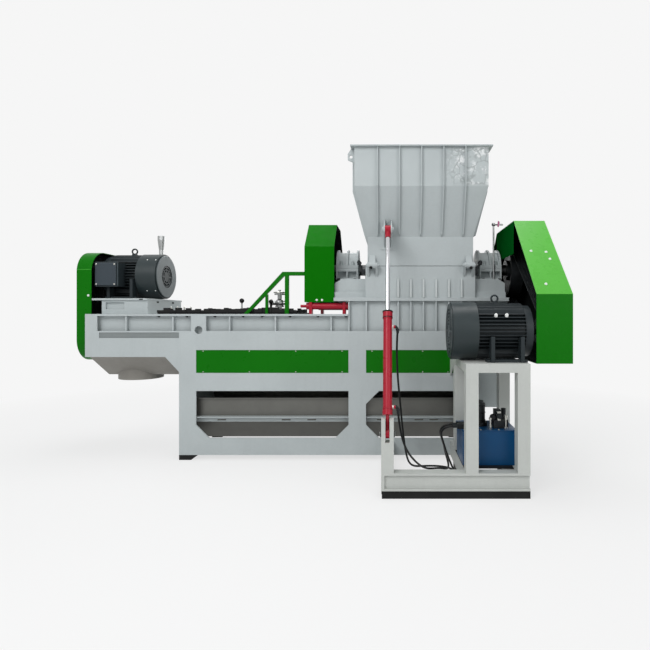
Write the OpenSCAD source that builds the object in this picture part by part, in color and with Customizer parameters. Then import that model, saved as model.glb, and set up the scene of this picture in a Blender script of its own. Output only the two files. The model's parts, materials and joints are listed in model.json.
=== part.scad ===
// Plastic crusher with a tilting feed hopper over a horizontal screw trough.
// X runs along the machine, Y from its front to its rear and Z up from the floor.
// Places are first given from a datum: the floor, the front plate's face and a
// cross plane inside the crusher. placed() then moves the origin under the middle.

/* [Main frame] */
// Length of the main frame between its end faces
frame_l = 2930; // [2800:10:3100]
// Depth of the main frame from front face to rear face
frame_d = 1000; // [960:10:1060]
// Right end of the main frame from the datum plane
frame_right = 820; // [800:5:840]
// Height of the rubber feet
foot_h = 50; // [40:5:70]
// Thickness of the front and rear plates
plate_t = 16; // [12:1:20]
// Height of the plates' top edge
plate_top = 1290; // [1270:5:1310]
// Height of the deck's upper face
deck_z = 1460; // [1440:5:1480]
// Thickness of the deck
deck_t = 20; // [12:1:26]
// Width of the end posts
end_post_w = 170; // [150:5:190]
// Width of the middle post
mid_post_w = 175; // [150:5:200]
// Clear width of the right window
right_window_w = 890; // [850:10:930]
// Height of the windows' lower edge
window_z0 = 220; // [190:5:240]
// Height of the windows' upper edge
window_z1 = 690; // [670:5:720]
// Corner cut of the windows
window_cut = 130; // [90:5:160]
// Height of the green panels' lower edge
panel_z0 = 870; // [850:5:890]
// Height of the green panels' upper edge
panel_z1 = 1100; // [1080:5:1130]
// Thickness of the green panels
panel_t = 6; // [4:1:8]

/* [Overhang and outlet] */
// Length of the overhang left of the main frame
overhang_l = 940; // [900:10:980]
// Height of the overhang's lower edge
overhang_z = 1030; // [1010:5:1050]
// Depth of the recessed band behind the plates' upper edge
band_in = 60; // [45:5:75]
// Height of the outlet chute's lower edge
chute_z = 810; // [790:5:830]
// Outer radius of the outlet spigot
spigot_r = 215; // [190:5:225]
// Length of the outlet spigot
spigot_l = 75; // [60:5:100]
// Sheet thickness of chute, spigot and tray
sheet_t = 5; // [4:1:8]

/* [Crusher] */
// Middle of the crusher from the datum plane
crusher_x = 305; // [300:1:310]
// Outer width of the crusher's lower housing
base_w = 1100; // [1080:5:1120]
// Height of the lower housing's mounting flange, upper face
flange_z = 1625; // [1610:5:1640]
// Thickness of the mounting flange
flange_t = 35; // [25:5:45]
// Height of the split between lower and upper housing
split_z = 1940; // [1930:5:1950]
// Gap at the split
split_gap = 5; // [5:1:8]
// Radius of the cutting circle's clearance bore in the housing
bore_r = 290; // [280:5:300]
// Radius of the rotor drum
drum_r = 190; // [170:5:210]
// Radius of the knife tips
knife_r = 265; // [255:5:275]
// Number of knife rows along the rotor
knife_rows = 9; // [5:1:11]
// Radius of the rotor shaft
shaft_r = 60; // [50:1:70]
// Spacing of the housing ribs
base_rib_pitch = 127; // [115:1:135]
// Width of each bearing housing along the shaft
bearing_w = 230; // [200:5:250]
// Outer radius of the bearing caps
bearing_r = 190; // [170:5:200]

/* [Hopper] */
// Outer width of the upper chamber
chamber_w = 1060; // [1040:5:1080]
// Outer depth of the upper chamber
chamber_d = 960; // [930:5:960]
// Height of the upper chamber's top edge
chamber_top = 2235; // [2210:5:2260]
// Outer width and depth of the hopper's upper bin
bin_w = 1300; // [1260:5:1340]
// Height of the bin's lower edge
bin_z = 2700; // [2660:5:2740]
// Height of the rim
rim_z = 3090; // [3040:5:3140]
// Wall thickness of chamber and hopper
hopper_t = 12; // [8:1:16]
// Width of the rim flange
rim_w = 38; // [30:1:45]
// Spacing of the hopper ribs
hopper_rib_pitch = 213; // [200:1:215]

/* [Lift cylinder] */
// Place of the lift cylinder from the datum plane
lift_x = -20; // [-30:1:-10]
// Height of the base pin
base_pin_z = 500; // [480:5:520]
// Distance of the base pin in front of the main frame
base_pin_out = 950; // [940:5:960]
// Height of the rod eye with the hopper closed
rod_pin_z = 2250; // [2230:5:2270]
// Distance of the rod eye in front of the main frame
rod_pin_out = 300; // [280:5:320]
// Outer radius of the barrel
barrel_r = 38; // [34:1:42]
// Length of the barrel from its base pin
barrel_l = 1050; // [1000:10:1090]
// Radius of the rod
rod_r = 20; // [18:1:21]
// Radius of the pins at both ends
lift_pin_r = 18; // [15:1:20]

/* [Skid and motor stand] */
// Front edge of the skid in front of the main frame
skid_out = 1000; // [1000:5:1030]
// Left end of the skid from the datum plane
skid_left = -70; // [-75:1:-70]
// Right end of the skid from the datum plane
skid_right = 1110; // [1080:5:1130]
// Height of the rubber pads under the skid
pad_h = 60; // [50:5:70]
// Height of the skid beams' upper face
skid_z = 200; // [180:5:210]
// Width of the posts and beams
post_w = 100; // [90:2:100]
// Left side of the motor stand from the datum plane
stand_left = 600; // [590:5:620]
// Depth of the motor stand
stand_d = 750; // [730:5:770]
// Height of the motor stand's upper face
stand_z = 1065; // [1050:5:1080]
// Height of the motor stand's top frame
stand_top_h = 70; // [60:5:80]

/* [Motors] */
// Height of a motor's shaft over its feet
motor_h = 250; // [246:1:256]
// Outer radius of a motor's fins
motor_r = 238; // [225:1:240]
// Outer radius of a motor's fan cowl
cowl_r = 245; // [238:1:246]
// Length of a motor's fan cowl
cowl_l = 210; // [180:5:240]
// Length of the screw motor without its shaft
screw_motor_l = 580; // [560:5:585]
// Length of the crusher motor without its shaft
crusher_motor_l = 660; // [600:5:680]
// Number of fins on each side of a motor
fins = 11; // [7:2:13]
// Free end of the screw motor from the datum plane
screw_motor_end = -2480; // [-2500:5:-2460]
// Free end of the crusher motor from the datum plane
crusher_motor_end = 520; // [500:5:540]
// Distance of the crusher motor's shaft in front of the main frame
crusher_motor_out = 640; // [620:5:660]
// Height of the screw motor's pedestal
pedestal_h = 160; // [150:5:180]

/* [Belt guards] */
// Width of the screw drive's guard
left_guard_w = 150; // [140:5:170]
// Height of the screw drive guard's top
left_guard_top = 2110; // [2100:5:2150]
// Width of the crusher drive's guard
right_guard_w = 280; // [260:5:300]
// Inner side of the crusher drive's guard from the datum plane
right_guard_x = 1200; // [1195:5:1220]
// Height of the crusher drive guard's top
right_guard_top = 2360; // [2340:5:2390]
// Sheet thickness of the guards
guard_t = 5; // [4:1:8]
// Width of the flywheel guard
wheel_guard_w = 300; // [280:5:310]
// Height of the flywheel guard's top
wheel_guard_top = 2410; // [2400:5:2450]
// Radius of the flywheel
flywheel_r = 340; // [300:5:345]
// Radius of the rotor's belt pulley
rotor_pulley_r = 290; // [270:5:310]
// Radius of the crusher motor's belt pulley
motor_pulley_r = 110; // [95:5:125]
// Radius of the screw's belt pulley
screw_pulley_r = 190; // [170:5:200]
// Thickness of the belts
belt_t = 12; // [8:1:16]

/* [Hydraulic unit] */
// Width of the tank
tank_w = 445; // [400:5:450]
// Depth of the tank
tank_d = 360; // [320:5:380]
// Height of the tank
tank_h = 290; // [260:5:310]
// Radius of the hydraulic hoses
hose_r = 9; // [8:1:10]

/* [Hidden] */
$fn = 48;

paint = [0.71, 0.74, 0.74];
stand_paint = [0.81, 0.82, 0.80];
green = [0.11, 0.48, 0.06];
red = [0.78, 0.18, 0.28];
motor_grey = [0.23, 0.27, 0.30];
dark = [0.12, 0.13, 0.14];
steel = [0.55, 0.55, 0.54];
blue = [0.08, 0.31, 0.54];
running = 0.05;
seat_gap = 0.3;

// Places worked out from the sizes above
frame_left = frame_right - frame_l;
over_left = frame_left - overhang_l;
mid_y = frame_d / 2;
window2_x0 = frame_right - end_post_w - right_window_w;
window1_x0 = frame_left + end_post_w;
window1_x1 = window2_x0 - mid_post_w;
window2_x1 = frame_right - end_post_w;
base_x0 = crusher_x - base_w / 2;
base_x1 = crusher_x + base_w / 2;
base_y0 = 20;
band_step = 175;
band_left = base_x0 - band_step;
band_t = flange_z - flange_t;
base_under = panel_z1 - 60;
deck_under = deck_z - deck_t;
guard_left = over_left - left_guard_w;
guard_right = right_guard_x + right_guard_w;
rotor_z = split_z + split_gap / 2;
front_out = skid_out;
bin_d = bin_w;
rear_y = mid_y + bin_d / 2 + rim_w;
origin_x = (guard_left + guard_right) / 2;
origin_y = (rear_y - front_out) / 2;

// Moves the datum's places so that the origin lies under the middle of the machine
module placed() translate([-origin_x, -origin_y, 0]) children();

// A box between two corners
module block(lo, hi) translate(lo) cube(hi - lo);

// An outline in X and Z, carried along Y
module along_y(y0, y1) translate([0, y1, 0]) rotate([90, 0, 0]) linear_extrude(y1 - y0) children();

// An outline in Y and Z, carried along X
module along_x(x0, x1) translate([x0, 0, 0]) rotate([90, 0, 90]) linear_extrude(x1 - x0) children();

// A round bar along X
module bar_x(x0, x1, y, z, r) translate([x0, y, z]) rotate([0, 90, 0]) cylinder(h = x1 - x0, r = r);

// A round bar along Y
module bar_y(y0, y1, x, z, r) translate([x, y1, z]) rotate([90, 0, 0]) cylinder(h = y1 - y0, r = r);

// The same shape on the front and on the rear of the machine
module front_and_rear() {
    children();
    mirrored_rear() children();
}

module mirrored_rear() translate([0, frame_d, 0]) mirror([0, 1, 0]) children();

// The same shape on the left and on the right of the crusher
module both_sides() {
    children();
    translate([2 * crusher_x, 0, 0]) mirror([1, 0, 0]) children();
}

// Main frame
tongue_x0 = frame_left + 120;
tongue_w = 150;
lift_hole_r = 40;
end_web_w = 120;
slope_w = 140;
slope_h = 150;
rebate = 10;

module window_outline(x0, x1, cut_left_top, cut_right_bottom) {
    left_top = cut_left_top ? window_cut : 0;
    right_bottom = cut_right_bottom ? window_cut : 0;
    polygon([
        [x0 + window_cut, window_z0], [x1 - right_bottom, window_z0], [x1, window_z0 + right_bottom],
        [x1, window_z1], [x0 + left_top, window_z1], [x0, window_z1 - left_top],
        [x0, window_z0 + window_cut]
    ]);
}

module plate_outline() {
    difference() {
        polygon([
            [frame_left, foot_h], [frame_right, foot_h], [frame_right, plate_top],
            [tongue_x0 + tongue_w, plate_top], [tongue_x0 + tongue_w, deck_under],
            [tongue_x0, deck_under], [tongue_x0, plate_top],
            [over_left + end_web_w, plate_top], [over_left + end_web_w, deck_under],
            [over_left, deck_under], [over_left, overhang_z],
            [frame_left - slope_w, overhang_z], [frame_left, overhang_z - slope_h]
        ]);
        window_outline(window1_x0, window1_x1, false, true);
        window_outline(window2_x0, window2_x1, true, false);
        translate([tongue_x0 + tongue_w / 2, plate_top + lift_hole_r / 4]) circle(r = lift_hole_r);
    }
}

module panel_hole(edge) {
    translate([window1_x0 + edge, panel_z0 + edge])
        square([window1_x1 - window1_x0 - 2 * edge, panel_z1 - panel_z0 - 2 * edge]);
    translate([window2_x0 + edge, panel_z0 + edge])
        square([window2_x1 - window2_x0 - 2 * edge, panel_z1 - panel_z0 - 2 * edge]);
}

channel_z0 = 1220;
channel_z1 = 1275;
channel_in = 8;

module side_plate() {
    difference() {
        along_y(0, plate_t) plate_outline();
        along_y(-1, rebate) panel_hole(0);
        along_y(-1, plate_t + 1) panel_hole(rebate);
        block([over_left + end_web_w + 20, -1, channel_z0], [frame_left, channel_in, channel_z1]);
    }
}

module front_plate() placed() color(paint) side_plate();

module rear_plate() placed() color(paint) mirrored_rear() side_plate();

cross_h = 110;

module frame_ends() placed() color(paint) {
    block([frame_left, plate_t, foot_h], [frame_left + plate_t, frame_d - plate_t, overhang_z - slope_h]);
    block([frame_right - plate_t, plate_t, foot_h], [frame_right, frame_d - plate_t, base_under]);
    block([window1_x1 + 20, plate_t, foot_h], [window2_x0 - 20, frame_d - plate_t, foot_h + cross_h]);
}

module green_panels() placed() color(green) front_and_rear()
    along_y(rebate - panel_t, rebate) offset_panel();

module offset_panel() {
    translate([seat_gap, seat_gap]) square_panel(window1_x0, window1_x1);
    translate([seat_gap, seat_gap]) square_panel(window2_x0, window2_x1);
}

module square_panel(x0, x1)
    translate([x0, panel_z0]) square([x1 - x0 - 2 * seat_gap, panel_z1 - panel_z0 - 2 * seat_gap]);

foot_w = 190;
foot_d = 120;
foot_taper = 70;

module foot_outline() polygon([[0, 0], [foot_w - foot_taper, 0], [foot_w, foot_h], [0, foot_h]]);

module feet() placed() color(dark) front_and_rear() {
    along_y(0, foot_d) translate([frame_left, 0]) foot_outline();
    along_y(0, foot_d) translate([frame_right, 0]) mirror([1, 0]) foot_outline();
}

// Drain tray behind the windows
tray_in = 90;
tray_slope_in = 260;
tray_top = 605;
tray_knee = 400;
tray_z = 170;
lip_w = 35;

module tray_outline(inset) {
    y0 = tray_in + inset;
    y1 = frame_d - tray_in - inset;
    polygon([
        [y0, tray_top + (inset > 0 ? 1 : 0)], [y0, tray_knee], [tray_slope_in + inset, tray_z + inset],
        [frame_d - tray_slope_in - inset, tray_z + inset], [y1, tray_knee],
        [y1, tray_top + (inset > 0 ? 1 : 0)]
    ]);
}

module drain_tray() placed() color(steel) {
    along_x(frame_left + plate_t, frame_right - plate_t) difference() {
        tray_outline(0);
        tray_outline(sheet_t);
    }
    front_and_rear() block([frame_left + plate_t, tray_in - lip_w, tray_top],
                           [frame_right - plate_t, tray_in + sheet_t, tray_top + sheet_t]);
}

ledge_z0 = 365;
ledge_z1 = 425;
ledge_t = 6;
slot_w = 90;
slot_h = 14;

module ledge_slots(x0, x1) {
    for (share = [0.12, 0.55, 0.72])
        translate([x0 + share * (x1 - x0), 0, 0])
            block([0, plate_t, ledge_z0 + 12], [slot_w, tray_in, ledge_z0 + 12 + slot_h]);
}

module tray_ledges() placed() color(paint) front_and_rear() difference() {
    union() {
        block([frame_left + plate_t, tray_in - ledge_t, ledge_z0], [frame_right - plate_t, tray_in, ledge_z1]);
        block([frame_left + plate_t, plate_t, ledge_z1 - ledge_t], [frame_right - plate_t, tray_in, ledge_z1]);
    }
    ledge_slots(window1_x0, window1_x1);
    ledge_slots(window2_x0, window2_x1);
}

// Screw trough and deck
body_left = over_left + 20;

module trough_body() placed() color(paint) difference() {
    block([body_left, band_in, overhang_z], [band_left, frame_d - band_in, deck_under]);
    bar_x(body_left - 1, body_left + 40, mid_y, screw_z, screw_shaft_r + 1);
}

front_ribs = [-2650, -2180, -1610, -1150, -590];
rib_t = 15;

module trough_ribs() placed() color(paint) front_and_rear()
    for (x = front_ribs) block([x - rib_t / 2, plate_t, plate_top - 60], [x + rib_t / 2, band_in, deck_under]);

module deck() placed() color(paint) block([over_left, 0, deck_under], [band_left, frame_d, deck_z]);

pedestal_x1 = screw_motor_end + 120;
cover_gap = 6;
cover_x0 = pedestal_x1 + cover_gap;
cover_x1 = -950;
cover_in = 130;
cover_t = 14;
cover_count = 4;
cover_rib = 26;

module trough_covers() placed() color(dark) {
    cover_l = (cover_x1 - cover_x0) / cover_count;
    for (i = [0 : cover_count - 1]) {
        x0 = cover_x0 + i * cover_l;
        block([x0, cover_in, deck_z], [x0 + cover_l - cover_gap, frame_d - cover_in, deck_z + cover_t]);
        for (y = [cover_in + 30, mid_y, frame_d - cover_in - 30])
            block([x0 + 30, y - 6, deck_z + cover_t],
                  [x0 + cover_l - cover_gap - 30, y + 6, deck_z + cover_t + cover_rib]);
    }
}

// Outlet chute under the overhang
chute_left = over_left + 40;
chute_right = frame_left - 6;
chute_low_left = over_left + 130;
chute_low_right = frame_left - 6;
chute_in = 40;
chute_low_in = 160;
spigot_x = chute_low_left + spigot_r + 10;

module chute_side(inset) polygon([
    [chute_left + inset, overhang_z + (inset > 0 ? 1 : 0)],
    [chute_low_left + inset, chute_z - (inset > 0 ? 1 : 0)],
    [chute_low_right - inset, chute_z - (inset > 0 ? 1 : 0)],
    [chute_low_right - inset, overhang_z - slope_h],
    [frame_left - slope_w - inset, overhang_z], [frame_left - slope_w - inset, overhang_z + (inset > 0 ? 1 : 0)]
]);

module chute_end(inset) polygon([
    [chute_in + inset, overhang_z + (inset > 0 ? 2 : 0)],
    [chute_low_in + inset, chute_z - (inset > 0 ? 2 : 0)],
    [frame_d - chute_low_in - inset, chute_z - (inset > 0 ? 2 : 0)],
    [frame_d - chute_in - inset, overhang_z + (inset > 0 ? 2 : 0)]
]);

module outlet_chute() placed() color([0.64, 0.61, 0.58]) difference() {
    union() {
        difference() {
            intersection() {
                along_y(0, frame_d) chute_side(0);
                along_x(chute_left, chute_right) chute_end(0);
            }
            intersection() {
                along_y(0, frame_d) chute_side(sheet_t);
                along_x(chute_left, chute_right) chute_end(sheet_t);
            }
        }
        block([chute_low_left, chute_low_in, chute_z], [chute_low_right, frame_d - chute_low_in, chute_z + sheet_t]);
    }
    translate([spigot_x, mid_y, chute_z - 1]) cylinder(h = sheet_t + 2, r = spigot_r - sheet_t);
}

module outlet_spigot() placed() color([0.64, 0.61, 0.58]) translate([spigot_x, mid_y, chute_z - spigot_l])
    difference() {
        cylinder(h = spigot_l, r = spigot_r);
        translate([0, 0, -1]) cylinder(h = spigot_l + 2, r = spigot_r - sheet_t);
    }

// Screw drive at the left end
screw_z = 1270;
screw_shaft_r = 35;
motor_axis_z = deck_z + pedestal_h + motor_h;
left_guard_in = 100;
left_guard_z = 975;
left_guard_round = 220;

// A rectangle with round corners in Y and Z
module round_box(y0, y1, z0, z1, r) {
    translate([y0 + r, z0]) square([y1 - y0 - 2 * r, z1 - z0]);
    translate([y0, z0 + r]) square([y1 - y0, z1 - z0 - 2 * r]);
    for (y = [y0 + r, y1 - r], z = [z0 + r, z1 - r]) translate([y, z]) circle(r = r);
}

module left_guard_outline(inset) round_box(left_guard_in + inset, frame_d - left_guard_in - inset,
    left_guard_z + inset, left_guard_top - inset, left_guard_round - inset);

module left_guard() placed() color(green) difference() {
    along_x(guard_left, over_left) left_guard_outline(0);
    along_x(guard_left + guard_t, over_left + 1) left_guard_outline(guard_t);
}

// The band that runs round two pulleys, given by centre and radius
module belt_outline(c1, r1, c2, r2) {
    span = norm(c2 - c1);
    turn = atan2(c2[1] - c1[1], c2[0] - c1[0]);
    lean = acos((r1 - r2) / span);
    translate(c1) circle(r = r1);
    translate(c2) circle(r = r2);
    polygon([
        c1 + r1 * [cos(turn + lean), sin(turn + lean)], c1 + r1 * [cos(turn - lean), sin(turn - lean)],
        c2 + r2 * [cos(turn - lean), sin(turn - lean)], c2 + r2 * [cos(turn + lean), sin(turn + lean)]
    ]);
}

module belt_band(x0, x1, c1, r1, c2, r2) along_x(x0, x1) difference() {
    belt_outline(c1, r1 + seat_gap + belt_t, c2, r2 + seat_gap + belt_t);
    belt_outline(c1, r1 + seat_gap, c2, r2 + seat_gap);
}

small_pulley_r = 95;
drive_x0 = guard_left + 35;
drive_x1 = over_left - 25;

module screw_drive() placed() color(dark) {
    bar_x(drive_x0, drive_x1, mid_y, motor_axis_z, small_pulley_r);
    bar_x(drive_x1, screw_motor_end - screw_motor_l, mid_y, motor_axis_z, 30);
    bar_x(drive_x0, drive_x1, mid_y, screw_z, screw_pulley_r);
    bar_x(drive_x1, body_left + 40, mid_y, screw_z, screw_shaft_r);
    belt_band(drive_x0 + 10, drive_x1 - 10, [mid_y, motor_axis_z], small_pulley_r, [mid_y, screw_z], screw_pulley_r);
}

// Electric motors. The fan end is at X = 0 and the shaft end at X = motor_l
fin_t = 6;
core_r = motor_r - 38;
end_bell_l = 60;
motor_foot_l = 330;
motor_foot_w = 210;
motor_foot_t = 22;

module fin_outline() {
    circle(r = core_r);
    for (turn = [0, 90, 180, 270]) rotate(turn) intersection() {
        circle(r = motor_r);
        polygon([[0, 0], [motor_r, -motor_r], [motor_r, motor_r]]);
        for (i = [-(fins - 1) / 2 : (fins - 1) / 2])
            translate([0, i * 1.36 * motor_r / fins - fin_t / 2]) square([motor_r, fin_t]);
    }
}

module motor_case(motor_l) {
    along_x(cowl_l, motor_l - end_bell_l) fin_outline();
    bar_x(motor_l - end_bell_l, motor_l, 0, 0, motor_r - 20);
    for (side = [-1, 1]) {
        block([motor_l - end_bell_l - motor_foot_l, side * motor_foot_w - 45, -motor_h],
              [motor_l - end_bell_l, side * motor_foot_w + 45, -motor_h + motor_foot_t]);
        for (x = [motor_l - end_bell_l - motor_foot_l + 30, motor_l - end_bell_l - 60])
            block([x, side * motor_foot_w - 60, -motor_h], [x + 30, side * motor_foot_w + 25, -40]);
    }
    block([motor_l * 0.55, -22, core_r - 10], [motor_l * 0.55 + 40, 22, motor_r + 12]);
    translate([motor_l * 0.55 + 20, 0, motor_r + 40]) rotate([90, 0, 0]) rotate_extrude()
        translate([28, 0]) circle(r = 8);
}

module motor_cowl() difference() {
    union() {
        bar_x(0, cowl_l, 0, 0, cowl_r);
        bar_x(-12, 0, 0, 0, cowl_r - 14);
    }
    for (r = [55 : 30 : 175]) difference() {
        bar_x(-13, 6, 0, 0, r + 16);
        bar_x(-14, 7, 0, 0, r);
        for (turn = [0 : 45 : 135]) rotate([turn, 0, 0]) block([-15, -250, -7], [8, 250, 7]);
    }
}

module screw_motor_place() translate([screw_motor_end, mid_y, motor_axis_z]) mirror([1, 0, 0]) children();

module screw_motor() placed() color(motor_grey) screw_motor_place() {
    motor_case(screw_motor_l);
    block([330, -motor_r - 120, -125], [560, -motor_r + 60, 125]);
}

module screw_motor_cowl() placed() color(motor_grey) screw_motor_place() motor_cowl();

pedestal_x0 = screw_motor_end - 470;
pedestal_in = 110;
top_plate_t = 20;

module motor_pedestal() placed() color(paint) {
    difference() {
        block([pedestal_x0, pedestal_in, deck_z], [pedestal_x1, frame_d - pedestal_in, deck_z + pedestal_h - top_plate_t]);
        front_and_rear() block([pedestal_x0 + 40, pedestal_in - 1, deck_z + 50],
                               [pedestal_x0 + 230, pedestal_in + 25, deck_z + pedestal_h - top_plate_t - 20]);
    }
    block([pedestal_x0 - 90, pedestal_in - 20, deck_z + pedestal_h - top_plate_t],
          [pedestal_x1, frame_d - pedestal_in + 20, deck_z + pedestal_h]);
}

vent_x = -2740;
vent_in = 60;
vent_top = 2390;

module vent_pipe() placed() color(steel) translate([vent_x, frame_d - vent_in, deck_z]) {
    cylinder(h = 40, r = 48);
    cylinder(h = vent_top - deck_z - 120, r = 24);
    translate([0, 0, vent_top - deck_z - 160]) cylinder(h = 110, r1 = 26, r2 = 40);
    translate([0, 0, vent_top - deck_z - 50]) cylinder(h = 50, r = 40);
}

// Things on the deck
brace_w = 38;
brace_y = 85;
brace_top = 1890;
brace_x0 = -1490;
brace_x1 = -1075;
brace_mid_x = -1270;

module guard_brace() placed() color(green) along_y(brace_y, brace_y + brace_w) {
    polygon([
        [brace_x0, deck_z], [brace_x0 + 40, deck_z], [brace_x1, brace_top - brace_w],
        [wheel_guard_x0, brace_top - brace_w], [wheel_guard_x0, brace_top], [brace_x1 - 20, brace_top]
    ]);
    translate([brace_x1 + 4, deck_z]) square([brace_w, brace_top - deck_z - brace_w + 1]);
    translate([brace_mid_x, deck_z]) square([24, 200]);
}

valve_x = -1180;
valve_y = 330;

module water_valve() placed() color(steel) translate([valve_x, valve_y, deck_z + cover_t]) {
    cylinder(h = 190, r = 22);
    cylinder(h = 20, r = 60);
    translate([0, 0, 60]) cylinder(h = 16, r = 46);
    translate([0, 0, 105]) sphere(r = 46);
    translate([0, 0, 190]) cylinder(h = 14, r = 55);
    bar_x(-90, 90, 0, 105, 24);
    bar_x(-96, -84, 0, 105, 42);
    bar_x(84, 96, 0, 105, 42);
    translate([0, 0, 204]) cylinder(h = 40, r = 14);
    translate([-370, -110, 0]) {
        cylinder(h = 12, r = 30);
        cylinder(h = 110, r = 8);
        translate([0, 0, 125]) sphere(r = 24);
    }
}

wheel_guard_x1 = base_x0 - 320;
wheel_guard_x0 = wheel_guard_x1 - wheel_guard_w;
wheel_guard_in = 50;
wheel_guard_z = 1580;
wheel_guard_bend = 2143;
wheel_guard_slope = 267;

module wheel_guard_outline(inset) {
    y0 = wheel_guard_in + inset;
    y1 = frame_d - wheel_guard_in - inset;
    z1 = wheel_guard_top - inset;
    polygon([
        [y0, wheel_guard_z + inset], [y0, wheel_guard_bend], [y0 + wheel_guard_slope, z1],
        [y1 - wheel_guard_slope, z1], [y1, wheel_guard_bend], [y1, wheel_guard_z + inset]
    ]);
}

module flywheel_guard() placed() color(green) difference() {
    along_x(wheel_guard_x0, wheel_guard_x1) wheel_guard_outline(0);
    along_x(wheel_guard_x0 + guard_t, wheel_guard_x1 + 1) wheel_guard_outline(guard_t);
}

ejector_r = 34;
ejector_z = 1540;
ejector_y = 90;
ejector_x0 = -910;

module ejector_cylinder() placed() color(red) front_and_rear() {
    bar_x(ejector_x0 + 60, band_left, ejector_y, ejector_z, ejector_r);
    bar_x(ejector_x0, ejector_x0 + 60, ejector_y, ejector_z, 15);
    block([ejector_x0 + 90, ejector_y - 40, deck_z], [ejector_x0 + 120, ejector_y + 40, ejector_z + ejector_r + 5]);
    block([band_left - 60, ejector_y - 40, deck_z], [band_left - 30, ejector_y + 40, ejector_z + ejector_r + 5]);
}

// Crusher
base_ribs = [for (i = [-2 : 3]) crusher_x - 10 + (i - 0.2) * base_rib_pitch];
foot_rib_h = 185;

module crusher_base() placed() color(paint) {
    block([band_left, band_in, base_under], [base_x1, frame_d - band_in, band_t]);
    block([wheel_guard_x1, 0, band_t], [right_guard_x - 10, frame_d, flange_z]);
    front_and_rear() for (x = base_ribs)
        block([x - rib_t / 2, plate_t, plate_top - 20], [x + rib_t / 2, band_in, band_t]);
    front_and_rear() block([band_left, plate_t, plate_top - 20], [band_left + rib_t, band_in, band_t]);
}

shaft_clear = 8;
side_wall = 50;

module lower_housing() placed() color(paint) {
    difference() {
        block([base_x0, base_y0, flange_z], [base_x1, frame_d - base_y0, split_z]);
        bar_x(base_x0 + side_wall, base_x1 - side_wall, mid_y, rotor_z, bore_r);
        bar_x(base_x0 - 1, base_x1 + 1, mid_y, rotor_z, shaft_r + shaft_clear);
        block([base_x0 + side_wall, mid_y - bore_r, rotor_z - 60], [base_x1 - side_wall, mid_y + bore_r, split_z + 1]);
    }
    front_and_rear() for (x = base_ribs)
        along_x(x - 6, x + 6)
            polygon([[base_y0 - 20, flange_z], [base_y0, flange_z], [base_y0, flange_z + foot_rib_h], [base_y0 - 4, flange_z + foot_rib_h]]);
}

bearing_x1 = base_x0 - 95;
bearing_x0 = bearing_x1 - bearing_w;
pedestal_top = 1820;
bearing_pedestal_in = 110;
cap_flange_t = 32;
cap_z = rotor_z + 2;
bearing_seat_d = 225;

module bearing_pedestals() placed() color(paint) both_sides()
    along_y(bearing_pedestal_in, frame_d - bearing_pedestal_in) polygon([
        [base_x0, flange_z], [wheel_guard_x1, flange_z], [wheel_guard_x1, pedestal_top - 45],
        [wheel_guard_x1 + 70, pedestal_top], [base_x0, pedestal_top]
    ]);

module bearing_seats() placed() color(paint) both_sides() difference() {
    union() {
        block([bearing_x0, mid_y - bearing_seat_d, pedestal_top], [bearing_x1, mid_y + bearing_seat_d, pedestal_top + 25]);
        block([bearing_x0 + 10, mid_y - bearing_seat_d + 60, pedestal_top + 25],
              [bearing_x1 - 10, mid_y + bearing_seat_d - 60, rotor_z - cap_flange_t]);
        block([bearing_x0, mid_y - bearing_seat_d, rotor_z - cap_flange_t], [bearing_x1, mid_y + bearing_seat_d, rotor_z]);
        for (x = [bearing_x0, (bearing_x0 + bearing_x1) / 2 - 8, bearing_x1 - 16])
            block([x, mid_y - bearing_seat_d, pedestal_top + 25], [x + 16, mid_y + bearing_seat_d, rotor_z - cap_flange_t]);
    }
    bar_x(bearing_x0 - 1, bearing_x1 + 1, mid_y, rotor_z, shaft_r + running);
}

module bearing_caps() placed() color(paint) both_sides() difference() {
    union() {
        bar_x(bearing_x0 + 12, bearing_x1 - 12, mid_y, cap_z, bearing_r);
        for (x = [bearing_x0, (bearing_x0 + bearing_x1) / 2 - 9, bearing_x1 - 18])
            bar_x(x, x + 18, mid_y, cap_z, bearing_r + 28);
        block([bearing_x0, mid_y - bearing_seat_d, cap_z], [bearing_x1, mid_y + bearing_seat_d, cap_z + cap_flange_t]);
        for (x = [bearing_x0 + 55, bearing_x1 - 55], y = [mid_y - bearing_r - 12, mid_y + bearing_r + 12])
            translate([x, y, cap_z]) cylinder(h = 75, r = 13);
    }
    block([bearing_x0 - 1, mid_y - 300, cap_z - 300], [bearing_x1 + 1, mid_y + 300, cap_z]);
    bar_x(bearing_x0 - 1, bearing_x1 + 1, mid_y, rotor_z, shaft_r + running);
}

wheel_w = 150;
wheel_x0 = wheel_guard_x0 + 60;
pulley_x0 = right_guard_x + 70;
pulley_w = 130;
knife_w = 60;
knife_h = 60;
knife_turn = 40;
drum_x0 = base_x0 + side_wall + 12;
drum_x1 = base_x1 - side_wall - 12;

module rotor() placed() color([0.35, 0.36, 0.37]) {
    bar_x(wheel_x0 - 20, pulley_x0 + pulley_w + 20, mid_y, rotor_z, shaft_r);
    bar_x(drum_x0, drum_x1, mid_y, rotor_z, drum_r);
    pitch = (drum_x1 - drum_x0) / knife_rows;
    for (i = [0 : knife_rows - 1], half = [0, 180])
        translate([drum_x0 + (i + 0.5) * pitch, mid_y, rotor_z]) rotate([i * knife_turn + half, 0, 0])
            along_x(-knife_w / 2, knife_w / 2) polygon([
                [-drum_r * 0.45, drum_r * 0.8], [knife_h / 2, drum_r * 0.8], [knife_h / 2, knife_r * 0.97],
                [knife_h / 4, knife_r * 0.99]
            ]);
}

spoke_r = 150;

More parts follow.
